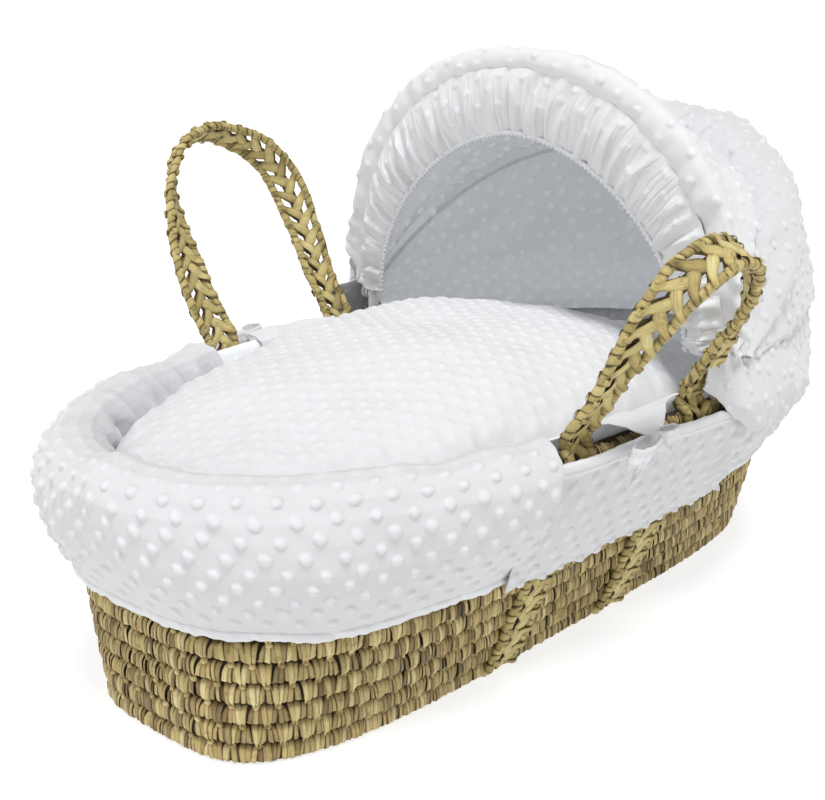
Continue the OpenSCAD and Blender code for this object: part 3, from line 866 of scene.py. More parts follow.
# lines up or round a sheet: how far out from the wall, and how high
SKIRT_LINE = [
    (0.0076, 0.1185), (0.0110, 0.1270), (0.0165, 0.1400),
    (0.0230, 0.1570), (0.0280, 0.1790), (0.0300, 0.2040),
    (0.0290, 0.2210), (0.0235, 0.2350), (0.0115, 0.2430),
    (-0.0030, 0.2455), (-0.0140, 0.2425), (-0.0210, 0.2350),
    (-0.0262, 0.2260), (-0.0305, 0.2140), (-0.0318, 0.2040)
]
LINER_LINE = [
    (-0.0120, 0.2400), (-0.0165, 0.2350), (-0.0205, 0.2260),
    (-0.0240, 0.2160), (-0.0272, 0.2050), (-0.0305, 0.1900),
    (-0.0305, 0.1500), (-0.0280, 0.0600)
]
HEM_LINE = [
    (0.0022, 0.1190), (0.0026, 0.1130), (0.0046, 0.1104),
    (0.0068, 0.1112), (0.0084, 0.1145), (0.0090, 0.1185),
    (0.0082, 0.1215), (0.0060, 0.1230)
]
FLAP_LINE = [(0.0118, 0.1130), (0.0132, 0.1400), (0.0142, 0.1700), (0.0150, 0.2000), (0.0150, 0.2120)]
# the flap's binding, from the flap's top edge
FLAP_EDGE = [
    (0.0132, -0.010), (0.0150, -0.0105), (0.0172, -0.009),
    (0.0176, -0.003), (0.0166, 0.0025), (0.0148, 0.0035),
    (0.0130, 0.001), (0.0126, -0.004)
]
CUFF_LINE = [
    (-0.0250, 0.2300), (-0.0205, 0.2390), (-0.0120, 0.2440),
    (-0.0010, 0.2455), (0.0085, 0.2420), (0.0150, 0.2360),
    (0.0190, 0.2300)
]
SIDES = ((-1, "near"), (1, "far"))


def bell(x, width):
    """1 at 0, falling away on both sides."""
    return np.exp(-(x / width) ** 2)


def hem_lift(turns):
    """How much higher the hem hangs round the foot end, most of all at its far corner."""
    x, y = RIM[0] * np.cos(turns), RIM[1] * np.sin(turns)
    foot = ease((-x - 0.28) / 0.12)
    return 0.004 + foot * (0.003 + 0.011 * ease((y - 0.02) / 0.13))


def cloth_ring(line, turns, rows, wrap=False):
    """A smooth sheet round the basket: points, outward normals, and metric coordinates (u, v)."""
    profile = resample(line, rows, smooth=30)
    points = wall(turns[:, None], profile[None, :, 1], profile[None, :, 0])
    u = np.repeat(along_wall(turns)[:, None], rows, 1)
    v = np.repeat(spread(profile, 0)[None], len(turns), 0)
    return points, normals_of(points, wrap), u, v


def side_turns(x0, x1, side, count):
    """Evenly spaced turns along one side, from beside x0 to beside x1."""
    turns = even_turns(turn_at(x0), turn_at(x1), count)
    return turns if side > 0 else 2 * math.pi - turns


def tuck_ends(points, turns, normal, close):
    """Draws the ends of a skirt part in towards the wall, so that its roll closes there."""
    s = along_wall(turns)
    near_end = np.minimum(s, s[-1] - s)[:, None]
    limit = mix(0.0185, 0.060, ease(near_end / close))
    flat = wall(turns[:, None], points[..., 2], 0.0)
    gap = points - flat
    size = np.linalg.norm(gap, axis=-1, keepdims=True)
    outward = np.sum(gap * normal, -1, keepdims=True) > 0
    k = np.minimum(limit[..., None] / np.maximum(size, 1e-5), 1)
    return np.where(outward, flat + gap * k, points)


def build_hems():
    """Bound edges along the bottom of each skirt part, with a seam line."""
    bands = []
    a, b = turn_at(FOOT_X), turn_at(HEAD_X)
    parts = (("foot", a, 2 * math.pi - a, 620, 31, 16), ("head", -b, b, 600, 33, 26))
    for end, t0, t1, count, seed, sway in parts:
        turns = even_turns(t0, t1, count)
        points, normal, u, v = cloth_ring(HEM_LINE, turns, 22)
        seam = -0.0010 * bell(v - 0.0215, 0.0008)
        pucker = 0.0007 * waves(u, v * 0.4, 0.006, seed) + 0.0008 * waves(u, v, 0.02, seed + 1)
        points = raise_by(points, normal, seam + pucker)
        points[..., 2] += 0.0016 * waves(u, 0 * v, 0.05, sway)
        points[..., 2] += hem_lift(turns)[:, None] if end == "foot" else 0
        piece = add_sheet(f"{end}_hem_band", points, u, v, cotton, thick=0.0012)
        finish(piece, "basket", "smooth_cotton", f"hem_binding_{end}")
        bands.append(piece)
    return bands


def build_skirt_foot():
    """The foot part of the skirt: from the hem up the outside and over the soft roll on the rim."""
    turns = even_turns(turn_at(FOOT_X), 2 * math.pi - turn_at(FOOT_X), 700)
    points, normal, u, v = cloth_ring(SKIRT_LINE, turns, 170)
    puff = 0.0016 * waves(u, v * 0.6, 0.060, 11) + 0.0009 * waves(u, v * 0.5, 0.020, 12)
    on_roll = ease((v - 0.150) / 0.03)
    gather = 0.0020 * waves(u, v * 0.12, 0.011, 13) * on_roll * (1 - 0.7 * ease((v - 0.205) / 0.02))
    lump = 0.0022 * waves(u, 0 * v, 0.040, 15) * bell(v - 0.150, 0.032)
    furrow = 0.0026 * waves(u + 0.3 * v, v * 0.15, 0.019, 17) * bell(v - 0.190, 0.014)
    drag = 0.0012 * waves(u * 0.6 + v * 0.8, v * 0.2, 0.014, 18) * bell(v - 0.105, 0.03)
    flat_top = 1 - 0.75 * ease((v - 0.118) / 0.03)
    dot = 0.0030 * dots(u, v) * ease((v - 0.009) / 0.004) * flat_top
    points = raise_by(points, normal, (puff + gather + lump + drag + furrow) * ease(v / 0.03) + dot)
    points[..., 2] += 0.0016 * waves(u, 0 * v, 0.05, 16) * (1 - ease(v / 0.05))
    points[..., 2] += hem_lift(turns)[:, None] * (1 - ease(v / 0.09))
    piece = add_sheet("skirt_foot_cloth", points, u, v, dimple_cloth, dot / 0.0030)
    finish(piece, "basket", "dimple_fabric", "skirt_foot", "rim_padding_foot")


def build_skirt_head():
    """The head part of the skirt hangs in deep vertical gathers under the hood."""
    a = turn_at(HEAD_X)
    turns = even_turns(-a, a, 820)
    points, normal, u, v = cloth_ring(SKIRT_LINE, turns, 140)
    points = tuck_ends(points, turns, normal, 0.05)
    pleat = waves(u, v * 0.10, 0.0135, 21) + 0.5 * waves(u, v * 0.25, 0.007, 22)
    push = 0.0030 * pleat * (0.55 + 0.45 * ease((v - 0.02) / 0.06)) * (1 - 0.5 * ease((v - 0.13) / 0.03))
    push = push + 0.0016 * waves(u, v, 0.04, 23) + 0.0022 * dots(u, v) * ease((v - 0.009) / 0.004) - 0.001
    points = raise_by(points, normal, push)
    points[..., 2] += 0.0020 * waves(u, 0 * v, 0.03, 26) * (1 - ease(v / 0.04))
    piece = add_sheet("skirt_head_cloth", points, u, v, dimple_cloth, dots(u, v))
    finish(piece, "basket", "dimple_fabric", "skirt_head", "rim_padding_head")


def build_flaps():
    """The flap outside each pair of handle legs, with a bound top edge sewn down twice."""
    for side, name in SIDES:
        turns = side_turns(HEAD_X + 0.052, FOOT_X - 0.020, side, 280)
        along = np.linspace(1, 0, len(turns))[:, None]
        points, normal, u, v = cloth_ring(FLAP_LINE, turns, 80)
        crest = 0.006 * bell(points[..., 0] + 0.040, 0.060)
        points[..., 2] += (0.011 * (1 - along) + 0.002 + crest) * ease((v - 0.03) / 0.07)
        # at the head end it lies over the start of the skirt's head part
        behind = ease((points[..., 0] - HEAD_X + 0.040) / 0.05)
        points[..., 1] += side * 0.0075 * behind * (0.35 + 0.65 * ease(v / 0.05))
        draw = 0.0026 * waves(u + 0.9 * v, v * 0.3, 0.013, 45) * behind
        fold = 0.0014 * waves(u, v * 0.35, 0.022, 41)
        fold = fold + 0.0010 * waves(u, v * 0.2, 0.009, 42) * ease((v - 0.05) / 0.05)
        raised = dots(u, v) * (1 - ease((v - 0.088) / 0.006))
        points = raise_by(points, normal, side * (fold * (1 - 0.5 * along) + draw + 0.0030 * raised))
        piece = add_sheet(f"flap_{name}_cloth", points, u, v, dimple_cloth, raised, thick=0.0014)
        finish(piece, "basket", "dimple_fabric", f"flap_{name}")

        profile = resample(FLAP_EDGE, 24, smooth=14)
        edge = wall(turns[:, None], points[:, -1:, 2] + profile[None, :, 1], profile[None, :, 0])
        edge[..., 1] += side * 0.0070 * behind[:, -1:]
        length = spread(profile, 0)[None]
        stitches = 0.0012 * bell(length - 0.0045, 0.0006) + 0.0010 * bell(length - 0.0090, 0.0006)
        pucker = 0.0004 * waves(u[:, :1], length, 0.008, 43) - stitches
        edge = raise_by(edge, normals_of(edge), side * pucker)
        band = add_sheet(f"flap_{name}_band", edge, u[:, :1], length, cotton, thick=0.001)
        finish(band, "basket", "smooth_cotton", f"flap_binding_{name}")


def build_liner():
    """The padded cloth inside the basket, one closed ring down to the mattress."""
    turns = even_turns(0, 2 * math.pi, 901, o=-0.03)[:-1]
    points, normal, u, v = cloth_ring(LINER_LINE, turns, 110, wrap=True)
    t = turns[:, None]
    ripple = 0.0030 * np.sin(t * 23 + 2 * np.sin(t * 5)) * bell(v - 0.060, 0.018)
    low = ease((v - 0.035) / 0.02)
    fold = 0.0022 * low * waves(np.cos(t) * 0.9, np.sin(t) * 0.6 + v * 0.25, 0.020, 51)
    points = raise_by(points, normal, ripple + fold + 0.0018 * dots(u, v) * low)
    piece = add_sheet("inner_liner_cloth", points, u, v, lining_cloth_painted_lighter, 0.6 * dots(u, v), wrap=True)
    finish(piece, "basket", "dimple_fabric", "inner_liner")


def build_quilt():
    """The quilt: a soft crowned pad tucked in beside the liner, open to the bed at the head."""
    count, rings = 640, 150
    turns = even_turns(0, 2 * math.pi, count + 1, 0.21, QUILT_OUTLINE)[:-1, None]
    edge = wall(turns, QUILT_EDGE_Z, QUILT_OUTLINE)
    edge_x = np.where(edge[..., 0] > 0, edge[..., 0] * (0.300 / RIM[0]), edge[..., 0])
    r = np.linspace(0.004, 1, rings)[None]
    x = -0.03 + (edge_x + 0.03) * r
    y = edge[..., 1] * r
    crown = (1 - r ** 3.2) ** 0.72
    top = np.interp(x, [-0.36, -0.25, -0.10, 0.06, 0.20, 0.27], [0.243, 0.262, 0.2845, 0.286, 0.262, 0.236])
    puff = 0.0022 * waves(x, y, 0.085, 61) + 0.0014 * waves(x, y, 0.035, 62)
    inside = ease((1 - r) / 0.05)
    tuck = 0.0022 * waves(x, y, 0.016, 63) * ease((r - 0.80) / 0.18) * inside
    z = mix(0.217, top, crown) + (puff + tuck) * np.minimum((1 - r) / 0.06, 1)
    z = z + 0.0016 * dots(x, y, **QUILT_DOTS) * inside - 0.006 * bell(1 - r, 0.03)
    # the hem turns under and runs back inside
    inner = np.linspace(0, 1, 10)[None, 1:]
    under_x = edge_x - 0.012 * np.cos(turns) * inner
    under_y = edge[..., 1] * (1 - 0.05 * inner)
    under_z = z[:, -1:] - 0.012 * np.sin(inner * math.pi / 2)
    points = np.concatenate([np.stack([x, y, z], -1), np.stack([under_x, under_y, under_z], -1)], 1)
    x, y = points[..., 0], points[..., 1]
    faces = grid_faces(*points.shape[:2], wrap_u=True)
    piece = add_mesh("quilt_pad", points, faces, quilt_cloth, pairs(x, y), dots(x, y, **QUILT_DOTS))
    thicken(piece, 0.010, 1)
    finish(piece, "basket", "dimple_fabric", "quilt_cover", "quilt_wadding")


def build_mattress():
    """The foam mattress in its fitted cover."""
    low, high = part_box("mattress_cover")
    count, rings = 260, 40
    turns = np.linspace(0, 2 * math.pi, count, endpoint=False)[:, None]
    a = np.linspace(-math.pi / 2, math.pi / 2, rings)[None]
    shrink = np.maximum(powered(np.cos(a), 0.30), 0.02)
    x = high.x * powered(np.cos(turns), 0.5) * shrink
    y = high.y * powered(np.sin(turns), 0.5) * shrink
    z = (low.z + high.z) / 2 + (high.z - low.z) / 2 * powered(np.sin(a), 0.35)
    z = z + 0.0010 * waves(x, y, 0.05, 71)
    faces = grid_faces(count, rings, wrap_u=True)
    piece = add_mesh("mattress_in_cover", np.stack([x, y, z], -1), faces, cotton, pairs(x, y))
    finish(piece, "basket", "smooth_cotton", "mattress_cover", "mattress_foam")


def build_cuffs():
    """Between the legs of each handle the liner is drawn out over the rim, down to the tie."""
    path = resample(CUFF_LINE, 400, smooth=20)
    for side, name in SIDES:
        turns = side_turns(0.030, -0.092, side, 200)
        from_tie = RIM[0] * np.cos(turns)[:, None] + 0.047
        k = np.linspace(0, 1, 60)[None] * (0.40 + 0.60 * np.exp(-(np.abs(from_tie) / 0.036) ** 2.2))
        at = lookup(k * (len(path) - 1), np.arange(len(path)), path)
        points = wall_above(turns[:, None], at[..., 1], at[..., 0])
        u = np.repeat(along_wall(turns, 0.2, 0)[:, None], 60, 1)
        v = k * 0.055
        pull = 0.0012 * waves(u + 0.4 * v, v * 0.3, 0.018, 121) * bell(from_tie, 0.040)
        points = raise_by(points, normals_of(points) * side, pull + 0.0012)
        piece = add_sheet(f"liner_cuff_{name}", points, u, v, cotton, thick=0.0014)
        finish(piece, "basket", "smooth_cotton")


def ribbon(name, line, wide, width):
    """A narrow band of cotton along a line of points; wide is its widthways direction."""
    line = np.asarray(line, float)
    both = np.concatenate([line, np.tile(np.asarray(wide, float) * 0.004, (len(line), 1))], -1)
    both = resample(both, 60, smooth=8)
    centre, across = both[:, None, :3], unit(both[:, None, 3:])
    k = np.linspace(-1, 1, 9)[None, :, None]
    length = spread(both[:, :3], 0)[:, None]
    normal = unit(np.cross(np.gradient(both[:, :3], axis=0), across[:, 0]))[:, None]
    ripple = 0.0005 * np.sin(length * 900 + 2 * k[..., 0]) + 0.0004 * np.cos(k[..., 0] * 5)
    points = raise_by(centre + across * k * width / 2, normal, ripple)
    return add_sheet(name, points, length, k[..., 0] * width / 2, cotton, thick=0.0012)


# each part of the bow: its places along, out and up from the knot in mm, its slant, and its width
BOW = {
    "loop_a": ([(3, -1, 0), (-8, 8, 1), (-19, 11, -1), (-27, 7, -3), (-28, 2, -3), (-19, -2, -2), (-9, -2, 0),
                (0, -1, 0)], (0.30, 0.25, 0.92), 0.0150),
    "loop_b": ([(-3, -1, 0), (6, 8, 2), (14, 10, 3), (20, 6, 3), (19, 1, 3), (12, -2, 2), (5, -2, 1), (0, -1, 0)],
               (-0.30, 0.25, 0.92), 0.0150),
    "tail_a": ([(0, 1, -2), (-7, 5, -7), (-15, 4, -12), (-24, 1, -18)], (0.5, 0, 0.86), 0.0120),
    "tail_b": ([(1, 1, -2), (8, 6, -6), (15, 5, -11), (23, 1, -14)], (-0.4, 0, 0.9), 0.0120),
}


def build_bows():
    """A cotton tape tied in a bow at the top edge of each flap."""
    for side, name in SIDES:
        base = wall_beside(-0.066, 0.2300, side, 0.0275)
        for part, (places, slant, width) in BOW.items():
            line = [base + 1.3 * np.array([a / 1000, side * out / 1000, up / 1000]) for a, out, up in places]
            piece = ribbon(f"tie_{part}_{name}", line, np.array(slant) * [1, side, 1], width)
            finish(piece, "basket", "smooth_cotton")
        a = np.linspace(-math.pi / 2, math.pi / 2, 24)[None]
        b = np.linspace(0, 2 * math.pi, 40, endpoint=False)[:, None]
        crease = 1 + 0.10 * np.sin(b * 5 + 2 * np.sin(a * 2))
        knot = np.stack([base[0] + 0.0066 * np.cos(a) * np.cos(b) * crease,
                         base[1] + side * (0.0040 + 0.0068 * np.sin(a) * crease),
                         base[2] + 0.0088 * np.cos(a) * np.sin(b) * crease], -1)
        faces = grid_faces(40, 24, wrap_u=True)
        piece = add_mesh(f"tie_knot_{name}", knot, faces, cotton, pairs(a * 0.005, b * 0.005))
        finish(piece, "basket", "smooth_cotton", f"tie_bow_{name}")


def wire_material():
    """White plastic over a wire, slightly uneven."""
    material, tree, shader = new_material("coated_wire")
    grain = noise(tree, in_place(tree), 260.0, 3.0, 0.6)
    colour = ramp(tree, grain, [(0.3, (0.62, 0.62, 0.61)), (0.7, (0.76, 0.76, 0.75))])
    dress(tree, shader, colour, bump(tree, grain, 0.2, 0.0002), Roughness=0.42)
    return material


def rivet_material():
    """Brushed steel with light scuffs."""
    material, tree, shader = new_material("rivet")
    scuff = noise(tree, in_place(tree), 900.0, 4.0, 0.7)
    dress(tree, shader, ramp(tree, scuff, [(0.3, (0.45, 0.45, 0.46)), (0.7, (0.68, 0.68, 0.68))]), Metallic=0.9)
    rough = ramp(tree, scuff, [(0.3, (0.30, 0.30, 0.30)), (0.7, (0.48, 0.48, 0.48))])
    tree.links.new(rough, shader.inputs["Roughness"])
    return material


def mat_material():
    """The floor of the basket: rings of coiled grass bound with leaf, seen from inside and below."""
    material, tree, shader = new_material("palm_floor")
    place = in_place(tree)
    squeeze = node(tree, "ShaderNodeMapping", Scale=(0.42, 1.0, 1.0))
    tree.links.new(place, squeeze.inputs["Vector"])
    coils = node(tree, "ShaderNodeTexWave", Scale=17.0, Distortion=0.6)
    coils.wave_type = "RINGS"
    coils.rings_direction = "Z"
    tree.links.new(squeeze.outputs[0], coils.inputs["Vector"])
    leaf = noise(tree, place, 180.0, 4.0, 0.7)
    base = ramp(tree, leaf, [(0.25, (0.16, 0.11, 0.05)), (0.5, (0.36, 0.27, 0.12)), (0.8, (0.52, 0.42, 0.21))])
    # painted shade: darker in the grooves between the rings of grass
    gap = ramp(tree, coils.outputs["Fac"], [(0.05, (0.22, 0.18, 0.12)), (0.35, (1, 1, 1))])
    relief = bump(tree, coils.outputs["Fac"], 0.8, 0.003)
    dress(tree, shader, multiply(tree, base, gap), relief, Roughness=0.75)
    return material


def dress_hardware():
    """Materials for the CAD nodes that are shown as they are."""
    wire, rivet, floor = wire_material(), rivet_material(), mat_material()
    for name, material, slot in (
        ("base_mat", floor, "palm_coil"),
        ("hood_brackets", wire, "coated_wire"),
        ("hood_pivot_pins", rivet, "rivet"),
        ("front_bow", wire, "coated_wire"), ("rear_bow", wire, "coated_wire")
    ):
        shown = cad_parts[name]
        shown.data.materials.clear()
        shown.data.materials.append(material)


dress_hardware()
build_cuffs()
build_bows()
foot_hem, head_hem = build_hems()
build_skirt_foot()
build_skirt_head()
build_flaps()
build_liner()
build_quilt()
build_mattress()


# ---- hood ----

def hood_point(angle, r, w, n, turn):
    """A point of the hood's arch at an angle behind the pivot (radians), turn 0 to pi from far to near side."""
    lift = np.maximum(np.sin(turn), 0) ** (2 / n)
    side = np.sign(np.cos(turn)) * np.abs(np.cos(turn)) ** (2 / n)
    x = PIVOT_X + r * lift * np.sin(angle)
    z = PIVOT_Z + r * lift * np.cos(angle)
    return np.stack(np.broadcast_arrays(x, w * side, z), -1)


def even_arch(count, low=0.02):
    """Turns that lie evenly along the arch."""
    fine = np.linspace(low, math.pi - low, 3000)
    s = spread(hood_point(0, HOOD_R, HOOD_W, HOOD_N, fine), 0)
    return np.interp(np.linspace(0, s[-1], count), s, fine)


def halves(x):
    """Distance from the nearer foot of the arch, for distances from one foot."""
    return np.minimum(x, x.max(0)[None] - x)


def hood_sheet(rows, arch, count, inset=0.0):
    """A sheet of hood cloth through rows of (angle in degrees, height, half width, squareness)."""
    rows = np.array(rows, float)
    # the curve needs all four on one scale
    lean, half_width = np.radians(rows[:, 0]) * 0.3, rows[:, 2] - inset
    path = np.column_stack([lean, rows[:, 1] - inset, half_width, rows[:, 3] * 0.01])
    angle, r, w, n = curve_through(path, count).T
    points = hood_point(angle[None] / 0.3, r[None], w[None], n[None] * 100, arch[:, None])
    u = np.repeat(spread(points[:, count // 2], 0)[:, None], count, 1)
    v = np.repeat(spread(points[len(arch) // 2], 0)[None], len(arch), 0)
    return points, normals_of(points), u, v


FRONT_LEAN = -5.5
RUFFLE_OUT = (0.2540, 0.2300, 2.1)
OPENING = (0.1920, 0.1950, 1.8)
FRONT_ROWS = [
    (FRONT_LEAN - 0.2, 0.2520, 0.2285, 2.10), (FRONT_LEAN - 0.6, 0.2600, 0.2360, 2.15),
    (-5.4, 0.2685, 0.2455, 2.20),
    (-4.0, 0.2720, 0.2490, 2.25), (-1.4, 0.2690, 0.2480, 2.30),
    (2.4, 0.2615, 0.2440, 2.30), (7.0, 0.2500, 0.2380, 2.25),
    (14.0, 0.2430, 0.2340, 2.25), (31.0, 0.2400, 0.2320, 2.25), (43.0, 0.2560, 0.2390, 2.30)
]
REAR_ROWS = [
    (39.0, 0.2460, 0.2330, 2.30), (40.0, 0.2680, 0.2420, 2.30),
    (44.0, 0.2940, 0.2460, 2.30), (54.0, 0.3310, 0.2470, 2.25),
    (66.0, 0.3520, 0.2470, 2.20), (77.0, 0.3600, 0.2460, 2.15), (90.0, 0.3600, 0.2420, 2.15)
]


# the bodies at the two ends of each part of the hood's cloth, and the angles where each begins to hold it
FRONT_ENDS = (("hood_rear", 43), ("hood_front", 10))
REAR_ENDS = (("basket", 84), ("hood_rear", 52))


def finish_hood(piece, ends, *nodes):
    """Bakes a hood sheet's place into its points and hides the CAD nodes that it stands for; the points worked out
    from its ends are not used, and it is tied to no joint.
    """
    (body_a, angle_a), (body_b, angle_b) = ends
    a = hood_point(math.radians(angle_a), HOOD_R * 0.8, 0, 2, math.pi / 2)
    b = hood_point(math.radians(angle_b), HOOD_R * 0.8, 0, 2, math.pi / 2)
    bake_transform(piece)
    if nodes:
        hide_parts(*nodes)


def build_hood_outside():
    """The hood's outer cloth: front part, then the rear lobe."""
    arch = even_arch(560)
    points, normal, u, v = hood_sheet(FRONT_ROWS, arch, 150)
    wrinkle = 0.0014 * waves(u * 0.5, v, 0.034, 81) + 0.0010 * waves(u, v * 0.3, 0.015, 82)
    edge = 0.0012 * waves(u, 0 * v, 0.011, 83) * bell(v - 0.006, 0.010)
    crumple = 0.0065 * waves(u, v * 0.55, 0.020, 88) + 0.0030 * waves(u, v, 0.009, 89)
    crumple = crumple * bell(halves(u), 0.085)
    raised = dots_on(points, 801)
    push = wrinkle + edge + crumple * ease(v / 0.02) + 0.0022 * raised * ease((v - 0.004) / 0.006)
    points = raise_by(points, normal, push)
    piece = add_sheet("hood_front_cloth", points, u, v, hood_cloth_painted_lighter, 0.5 * raised)
    finish_hood(piece, FRONT_ENDS, "front_canopy", "middle_canopy", "front_band")

    points, normal, u, v = hood_sheet(REAR_ROWS, arch, 210)
    calm = ease((v.max() - v) / 0.05)
    big = 0.0042 * waves(u, v, 0.095, 84) + 0.0016 * waves(u, v * 0.6, 0.036, 85)
    seam = 0.0020 * waves(u, v * 0.15, 0.012, 87) * bell(v, 0.040)
    raised = dots_on(points, 802)
    points = raise_by(points, normal, big * ease(v / 0.04) * calm + seam + 0.0026 * raised)
    piece = add_sheet("hood_rear_cloth", points, u, v, dimple_cloth, 0.5 * raised)
    finish_hood(piece, REAR_ENDS, "rear_canopy")


# how far the hood's rear edge stands outside the wall, beside each place along it
LOBE_X = (0.040, 0.064, 0.080, 0.100, 0.200, 0.300, 0.370, 0.415)
LOBE_OUT = (0.0060, 0.0080, 0.0150, 0.0190, 0.0270, 0.0320, 0.0420, 0.0350)
LOBE_Z = PIVOT_Z + 0.012
# the lining's way out of the basket, over the roll
OVER_ROLL = [
    (-0.0345, 0.2190), (-0.0322, 0.2290), (-0.0265, 0.2395),
    (-0.0165, 0.2480), (-0.0050, 0.2525), (0.0, 0.2560)
]


def build_hood_lining():
    """The lining under both parts of the hood, and on down into the basket."""
    arch = even_arch(480)
    front = [(FRONT_LEAN + 1.0, 0.2490, 0.2270, 2.1)] + FRONT_ROWS[4:-1]
    front = front + [(39.0, 0.2500, 0.2370, 2.30), (46.0, 0.2680, 0.2430, 2.30)]
    rear = [(43.0, 0.2660, 0.2420, 2.30), (48.0, 0.2980, 0.2440, 2.30)] + REAR_ROWS[3:]
    for name, rows, ends, seed, inset, swell, bows in (
        ("hood_front_lining", front, FRONT_ENDS, 91, 0.012, 0.5, ["front_bow", "rear_bow"]),
        ("hood_rear_lining", rear, REAR_ENDS, 95, 0.017, 1.0, ["rear_bow"]),
    ):
        points, normal, u, v = hood_sheet(rows, arch, 150, inset)
        sweep = 0.0046 * waves(u * 0.30 + v * 0.9, v * 0.25 - u * 0.12, 0.036, seed)
        sweep = sweep + 0.0018 * waves(u, v, 0.040, seed + 1)
        raised = dots_on(points, seed)
        push = swell * sweep * ease((v.max() - v) / 0.03) * ease(v / 0.03) - 0.0034 * raised
        points = raise_by(points, normal, push)
        piece = add_sheet(name, points, u, v, lining_cloth_painted_lighter, raised, thick=0.0012)
        finish_hood(piece, ends)

    # the lining goes on down behind the hood's rear edge, over the roll and into the basket
    a = turn_at(0.100)
    turns = even_turns(-a, a, 620, 0.21)
    over_roll = resample(OVER_ROLL, 50, smooth=6)
    k = np.linspace(0, 1, 30)[None, 1:]
    up_o = mix(over_roll[-1, 0], np.interp(np.cos(turns)[:, None] * RIM[0], LOBE_X, LOBE_OUT) - 0.014, k)
    up_z = mix(over_roll[-1, 1], LOBE_Z, k) + 0 * up_o
    o, z = (
        np.concatenate([np.repeat(over_roll[None, :, i], len(turns), 0), up], 1)
        for i, up in enumerate((up_o, up_z))
    )
    points = wall_above(turns[:, None], z, o)
    u = np.repeat(along_wall(turns, 0.21, 0)[:, None], o.shape[1], 1)
    v = np.repeat(spread(points[len(turns) // 2], 0)[None], len(turns), 0)
    crumple = 0.0012 * waves(u, v * 0.4, 0.03, 98) + 0.0010 * waves(u, v * 0.3, 0.014, 99)
    points = raise_by(points, normals_of(points), -(crumple + 0.0022 * dots(u, v)))
    piece = add_sheet("hood_lining_drop", points, u, v, lining_cloth_painted_lighter, dots(u, v), thick=0.0012)
    finish(piece, "basket", "dimple_fabric")


def build_hood_front():
    """The gathered ruffle round the opening and the elastic that draws it in."""
    fine = np.linspace(0.02, math.pi - 0.02, 3000)
    lean = math.radians(FRONT_LEAN)
    outer_line = hood_point(lean, *RUFFLE_OUT, fine)
    inner_line = hood_point(lean, *OPENING, fine) + np.array([0, 0.005, 0])
    count, rows = 1200, 48
    so, si = spread(outer_line, 0), spread(inner_line, 0)
    f = np.linspace(0, 1, count)
    outer = lookup(f * so[-1], so, outer_line)
    inner = lookup(f * si[-1], si, inner_line)
    r = np.linspace(0, 1, rows)[None]
    u = np.repeat((f * (so[-1] + si[-1]) / 2)[:, None], rows, 1)
    v = 0.062 * r + 0 * u
    arc = np.sin(math.pi * r)
    bulge = 0.0075 * arc ** 0.8 + 0.001 + 0 * u
    gather = waves(u, v * 0.14, 0.0058, 101, 20) * (0.0026 * (1 - r) ** 0.6 + 0.0012 * arc)
    gather = gather + 0.0014 * waves(u, v * 0.3, 0.016, 102) * arc
    crease = bell(waves(u + 0.0012 * waves(u, v, 0.02, 107), v * 0.07, 0.0085, 106), 0.16)
    gather = gather - 0.0015 * crease * (1 - r) ** 0.35 * ease(r / 0.06)
    gather = gather + 0.0050 * waves(u, v * 0.8, 0.013, 105) * bell(halves(u), 0.07) * arc
    raised = dots(u, v, radius=0.0042)
    push = bulge + gather + 0.0013 * raised * ease((r - 0.15) / 0.2) * ease((1 - r) / 0.15)
    ahead = np.array([-math.cos(lean), 0, -math.sin(lean)])
    points = raise_by(mix(inner[:, None], outer[:, None], r[..., None]), ahead, push)
    side = 0.0020 * waves(u, v * 0.2, 0.010, 103) * arc
    points[..., 1] += side
    points[..., 2] += side * 0.6
    ruffle = add_sheet("hood_ruffle", points, u, v, hood_cloth_painted_lighter, 0.12 * raised, thick=0.0014)
    finish(ruffle, "hood_front", "dimple_fabric", "ruffle_band")

    # the elastic: a narrow rolled edge drawn into small teeth
    a = np.linspace(0, 2 * math.pi, 13)[None, :-1]
    way = u[:, :1]
    teeth = 0.5 + 0.5 * np.sin(way * 2 * math.pi / 0.0062 + 1.2 * waves(way, 0 * way, 0.03, 104))
    grow = 0.0022 + 0.0013 * teeth
    inward = unit(inner - np.array([PIVOT_X, 0, PIVOT_Z + 0.06]))[:, None]
    ring = raise_by(inner[:, None], inward, grow * np.cos(a) - 0.0010 * teeth)
    ring = raise_by(ring, ahead, grow * 0.8 * np.sin(a) + 0.001)
    faces = grid_faces(count, 12, wrap_v=True)
    elastic = add_mesh("hood_opening_elastic", ring, faces, cotton, pairs(way, a * 0.003))
    finish(elastic, "hood_front", "smooth_cotton", "opening_elastic")


# the frill's lower edge: its height, and how far out it stands, beside each place along it
FRILL_X = (0.046, 0.064, 0.078, 0.100, 0.150, 0.200, 0.300, 0.415)
FRILL_Z = (0.246, 0.234, 0.211, 0.197, 0.189, 0.187, 0.178, 0.168)
FRILL_OUT_X = (0.046, 0.066, 0.082, 0.110, 0.15, 0.3)
FRILL_OUT = (0.0040, 0.0110, 0.0310, 0.0400, 0.0400, 0.0340)


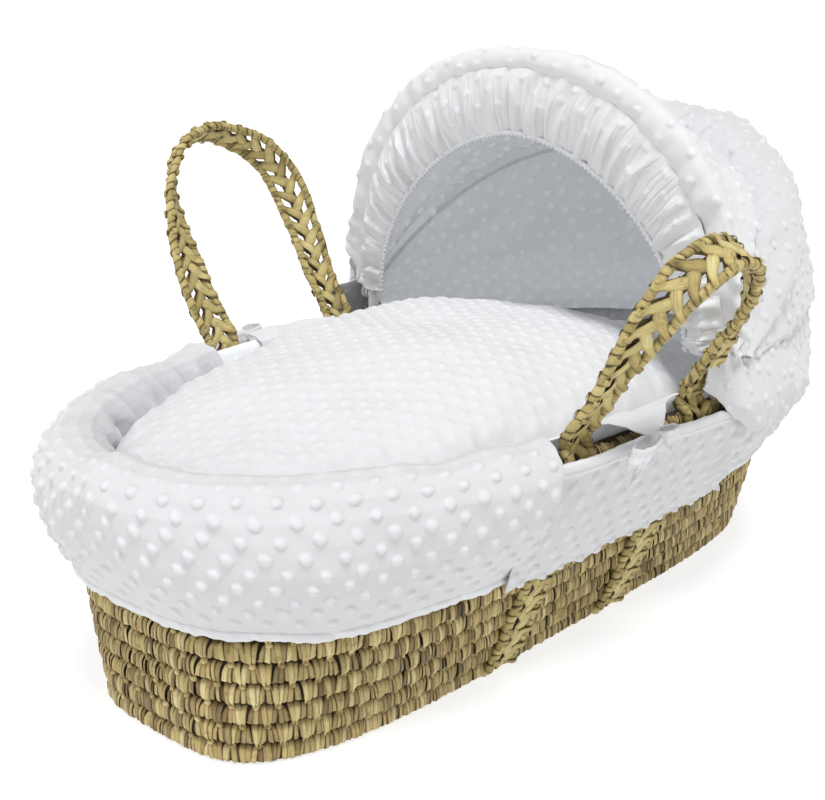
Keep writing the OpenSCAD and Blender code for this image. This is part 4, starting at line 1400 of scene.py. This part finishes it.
def build_hood_frill():
    """The gathered frill under the hood's rear part, outside the skirt."""
    a = turn_at(0.046)
    turns = even_turns(-a, a, 860, 0.21, 0.04)
    rows = 96
    k = np.linspace(0, 1, rows)[None]
    x = np.cos(turns)[:, None] * RIM[0]
    low_z = np.interp(x, FRILL_X, FRILL_Z)
    z = mix(low_z, LOBE_Z, k)
    top_o = np.interp(x, LOBE_X, LOBE_OUT) - 0.001
    offset = mix(np.interp(x, FRILL_OUT_X, FRILL_OUT), top_o, ease(k)) + 0.004 * np.sin(math.pi * k)
    points = wall_above(turns[:, None], z, offset)
    normal = normals_of(points)
    u = np.repeat(along_wall(turns, 0.21, 0.04)[:, None], rows, 1)
    v = (z - low_z) * 1.05
    pleat = 0.0020 * waves(u, v * 0.12, 0.022, 111) + 0.0006 * waves(u, v * 0.3, 0.009, 112)
    billow = 0.0026 * waves(u, v, 0.060, 114)
    raised = dots_on(points, 803)
    points = raise_by(points, normal, (pleat + billow) * ease((1 - k) / 0.45) + 0.0024 * raised)
    points[..., 2] += 0.0034 * waves(u, 0 * v, 0.030, 113) * (1 - ease(k / 0.3))
    piece = add_sheet("hood_frill_cloth", points, u, v, dimple_cloth, 0.5 * raised)
    finish(piece, "basket", "dimple_fabric", "hood_frill")


build_hood_outside()
build_hood_lining()
build_hood_front()
build_hood_frill()


# ---- floor and light ----

def build_stage():
    """A wide pale floor that rises far away, an even sky, and three soft suns."""
    material, _, shader = new_material("pale_floor")
    shader.inputs["Base Color"].default_value = (0.35, 0.35, 0.35, 1)
    shader.inputs["Emission Color"].default_value = (1, 1, 1, 1)
    shader.inputs["Emission Strength"].default_value = 0.78
    shader.inputs["Roughness"].default_value = 0.9
    mesh = bpy.data.meshes.new("floor")
    radii = np.concatenate([[0.0, 20.0], np.linspace(40, 60, 12)])
    rise_by = np.clip((radii - 40) / 20, 0, 1) ** 2 * 14
    turns = np.linspace(0, 2 * math.pi, 64, endpoint=False)[:, None]
    bowl = np.stack(np.broadcast_arrays(radii * np.cos(turns), radii * np.sin(turns), rise_by + 0 * turns), -1)
    mesh.from_pydata(bowl.reshape(-1, 3).tolist(), [], grid_faces(64, len(radii), wrap_u=True).tolist())
    floor = bpy.data.objects.new("floor", mesh)
    mesh.materials.append(material)
    bpy.context.scene.collection.objects.link(floor)

    world = bpy.data.worlds.new("studio")
    bpy.context.scene.world = world
    world.use_nodes = True
    world.node_tree.nodes["Background"].inputs[0].default_value = (1, 1, 1, 1)
    world.node_tree.nodes["Background"].inputs[1].default_value = 0.30

    for name, place, angle, power in (
        ("key", (-0.40, -0.65, 2.3), 20, 2.75),
        ("front", (-1.0, -0.70, 0.30), 45, 0.30),
        ("fill", (-1.0, 0.45, 0.55), 60, 0.75),
    ):
        data = bpy.data.lights.new(name, "SUN")
        data.angle = math.radians(angle)
        data.energy = power
        put(name, data, place, -Vector(place))
    bpy.context.scene.view_settings.view_transform = "Standard"


build_stage()
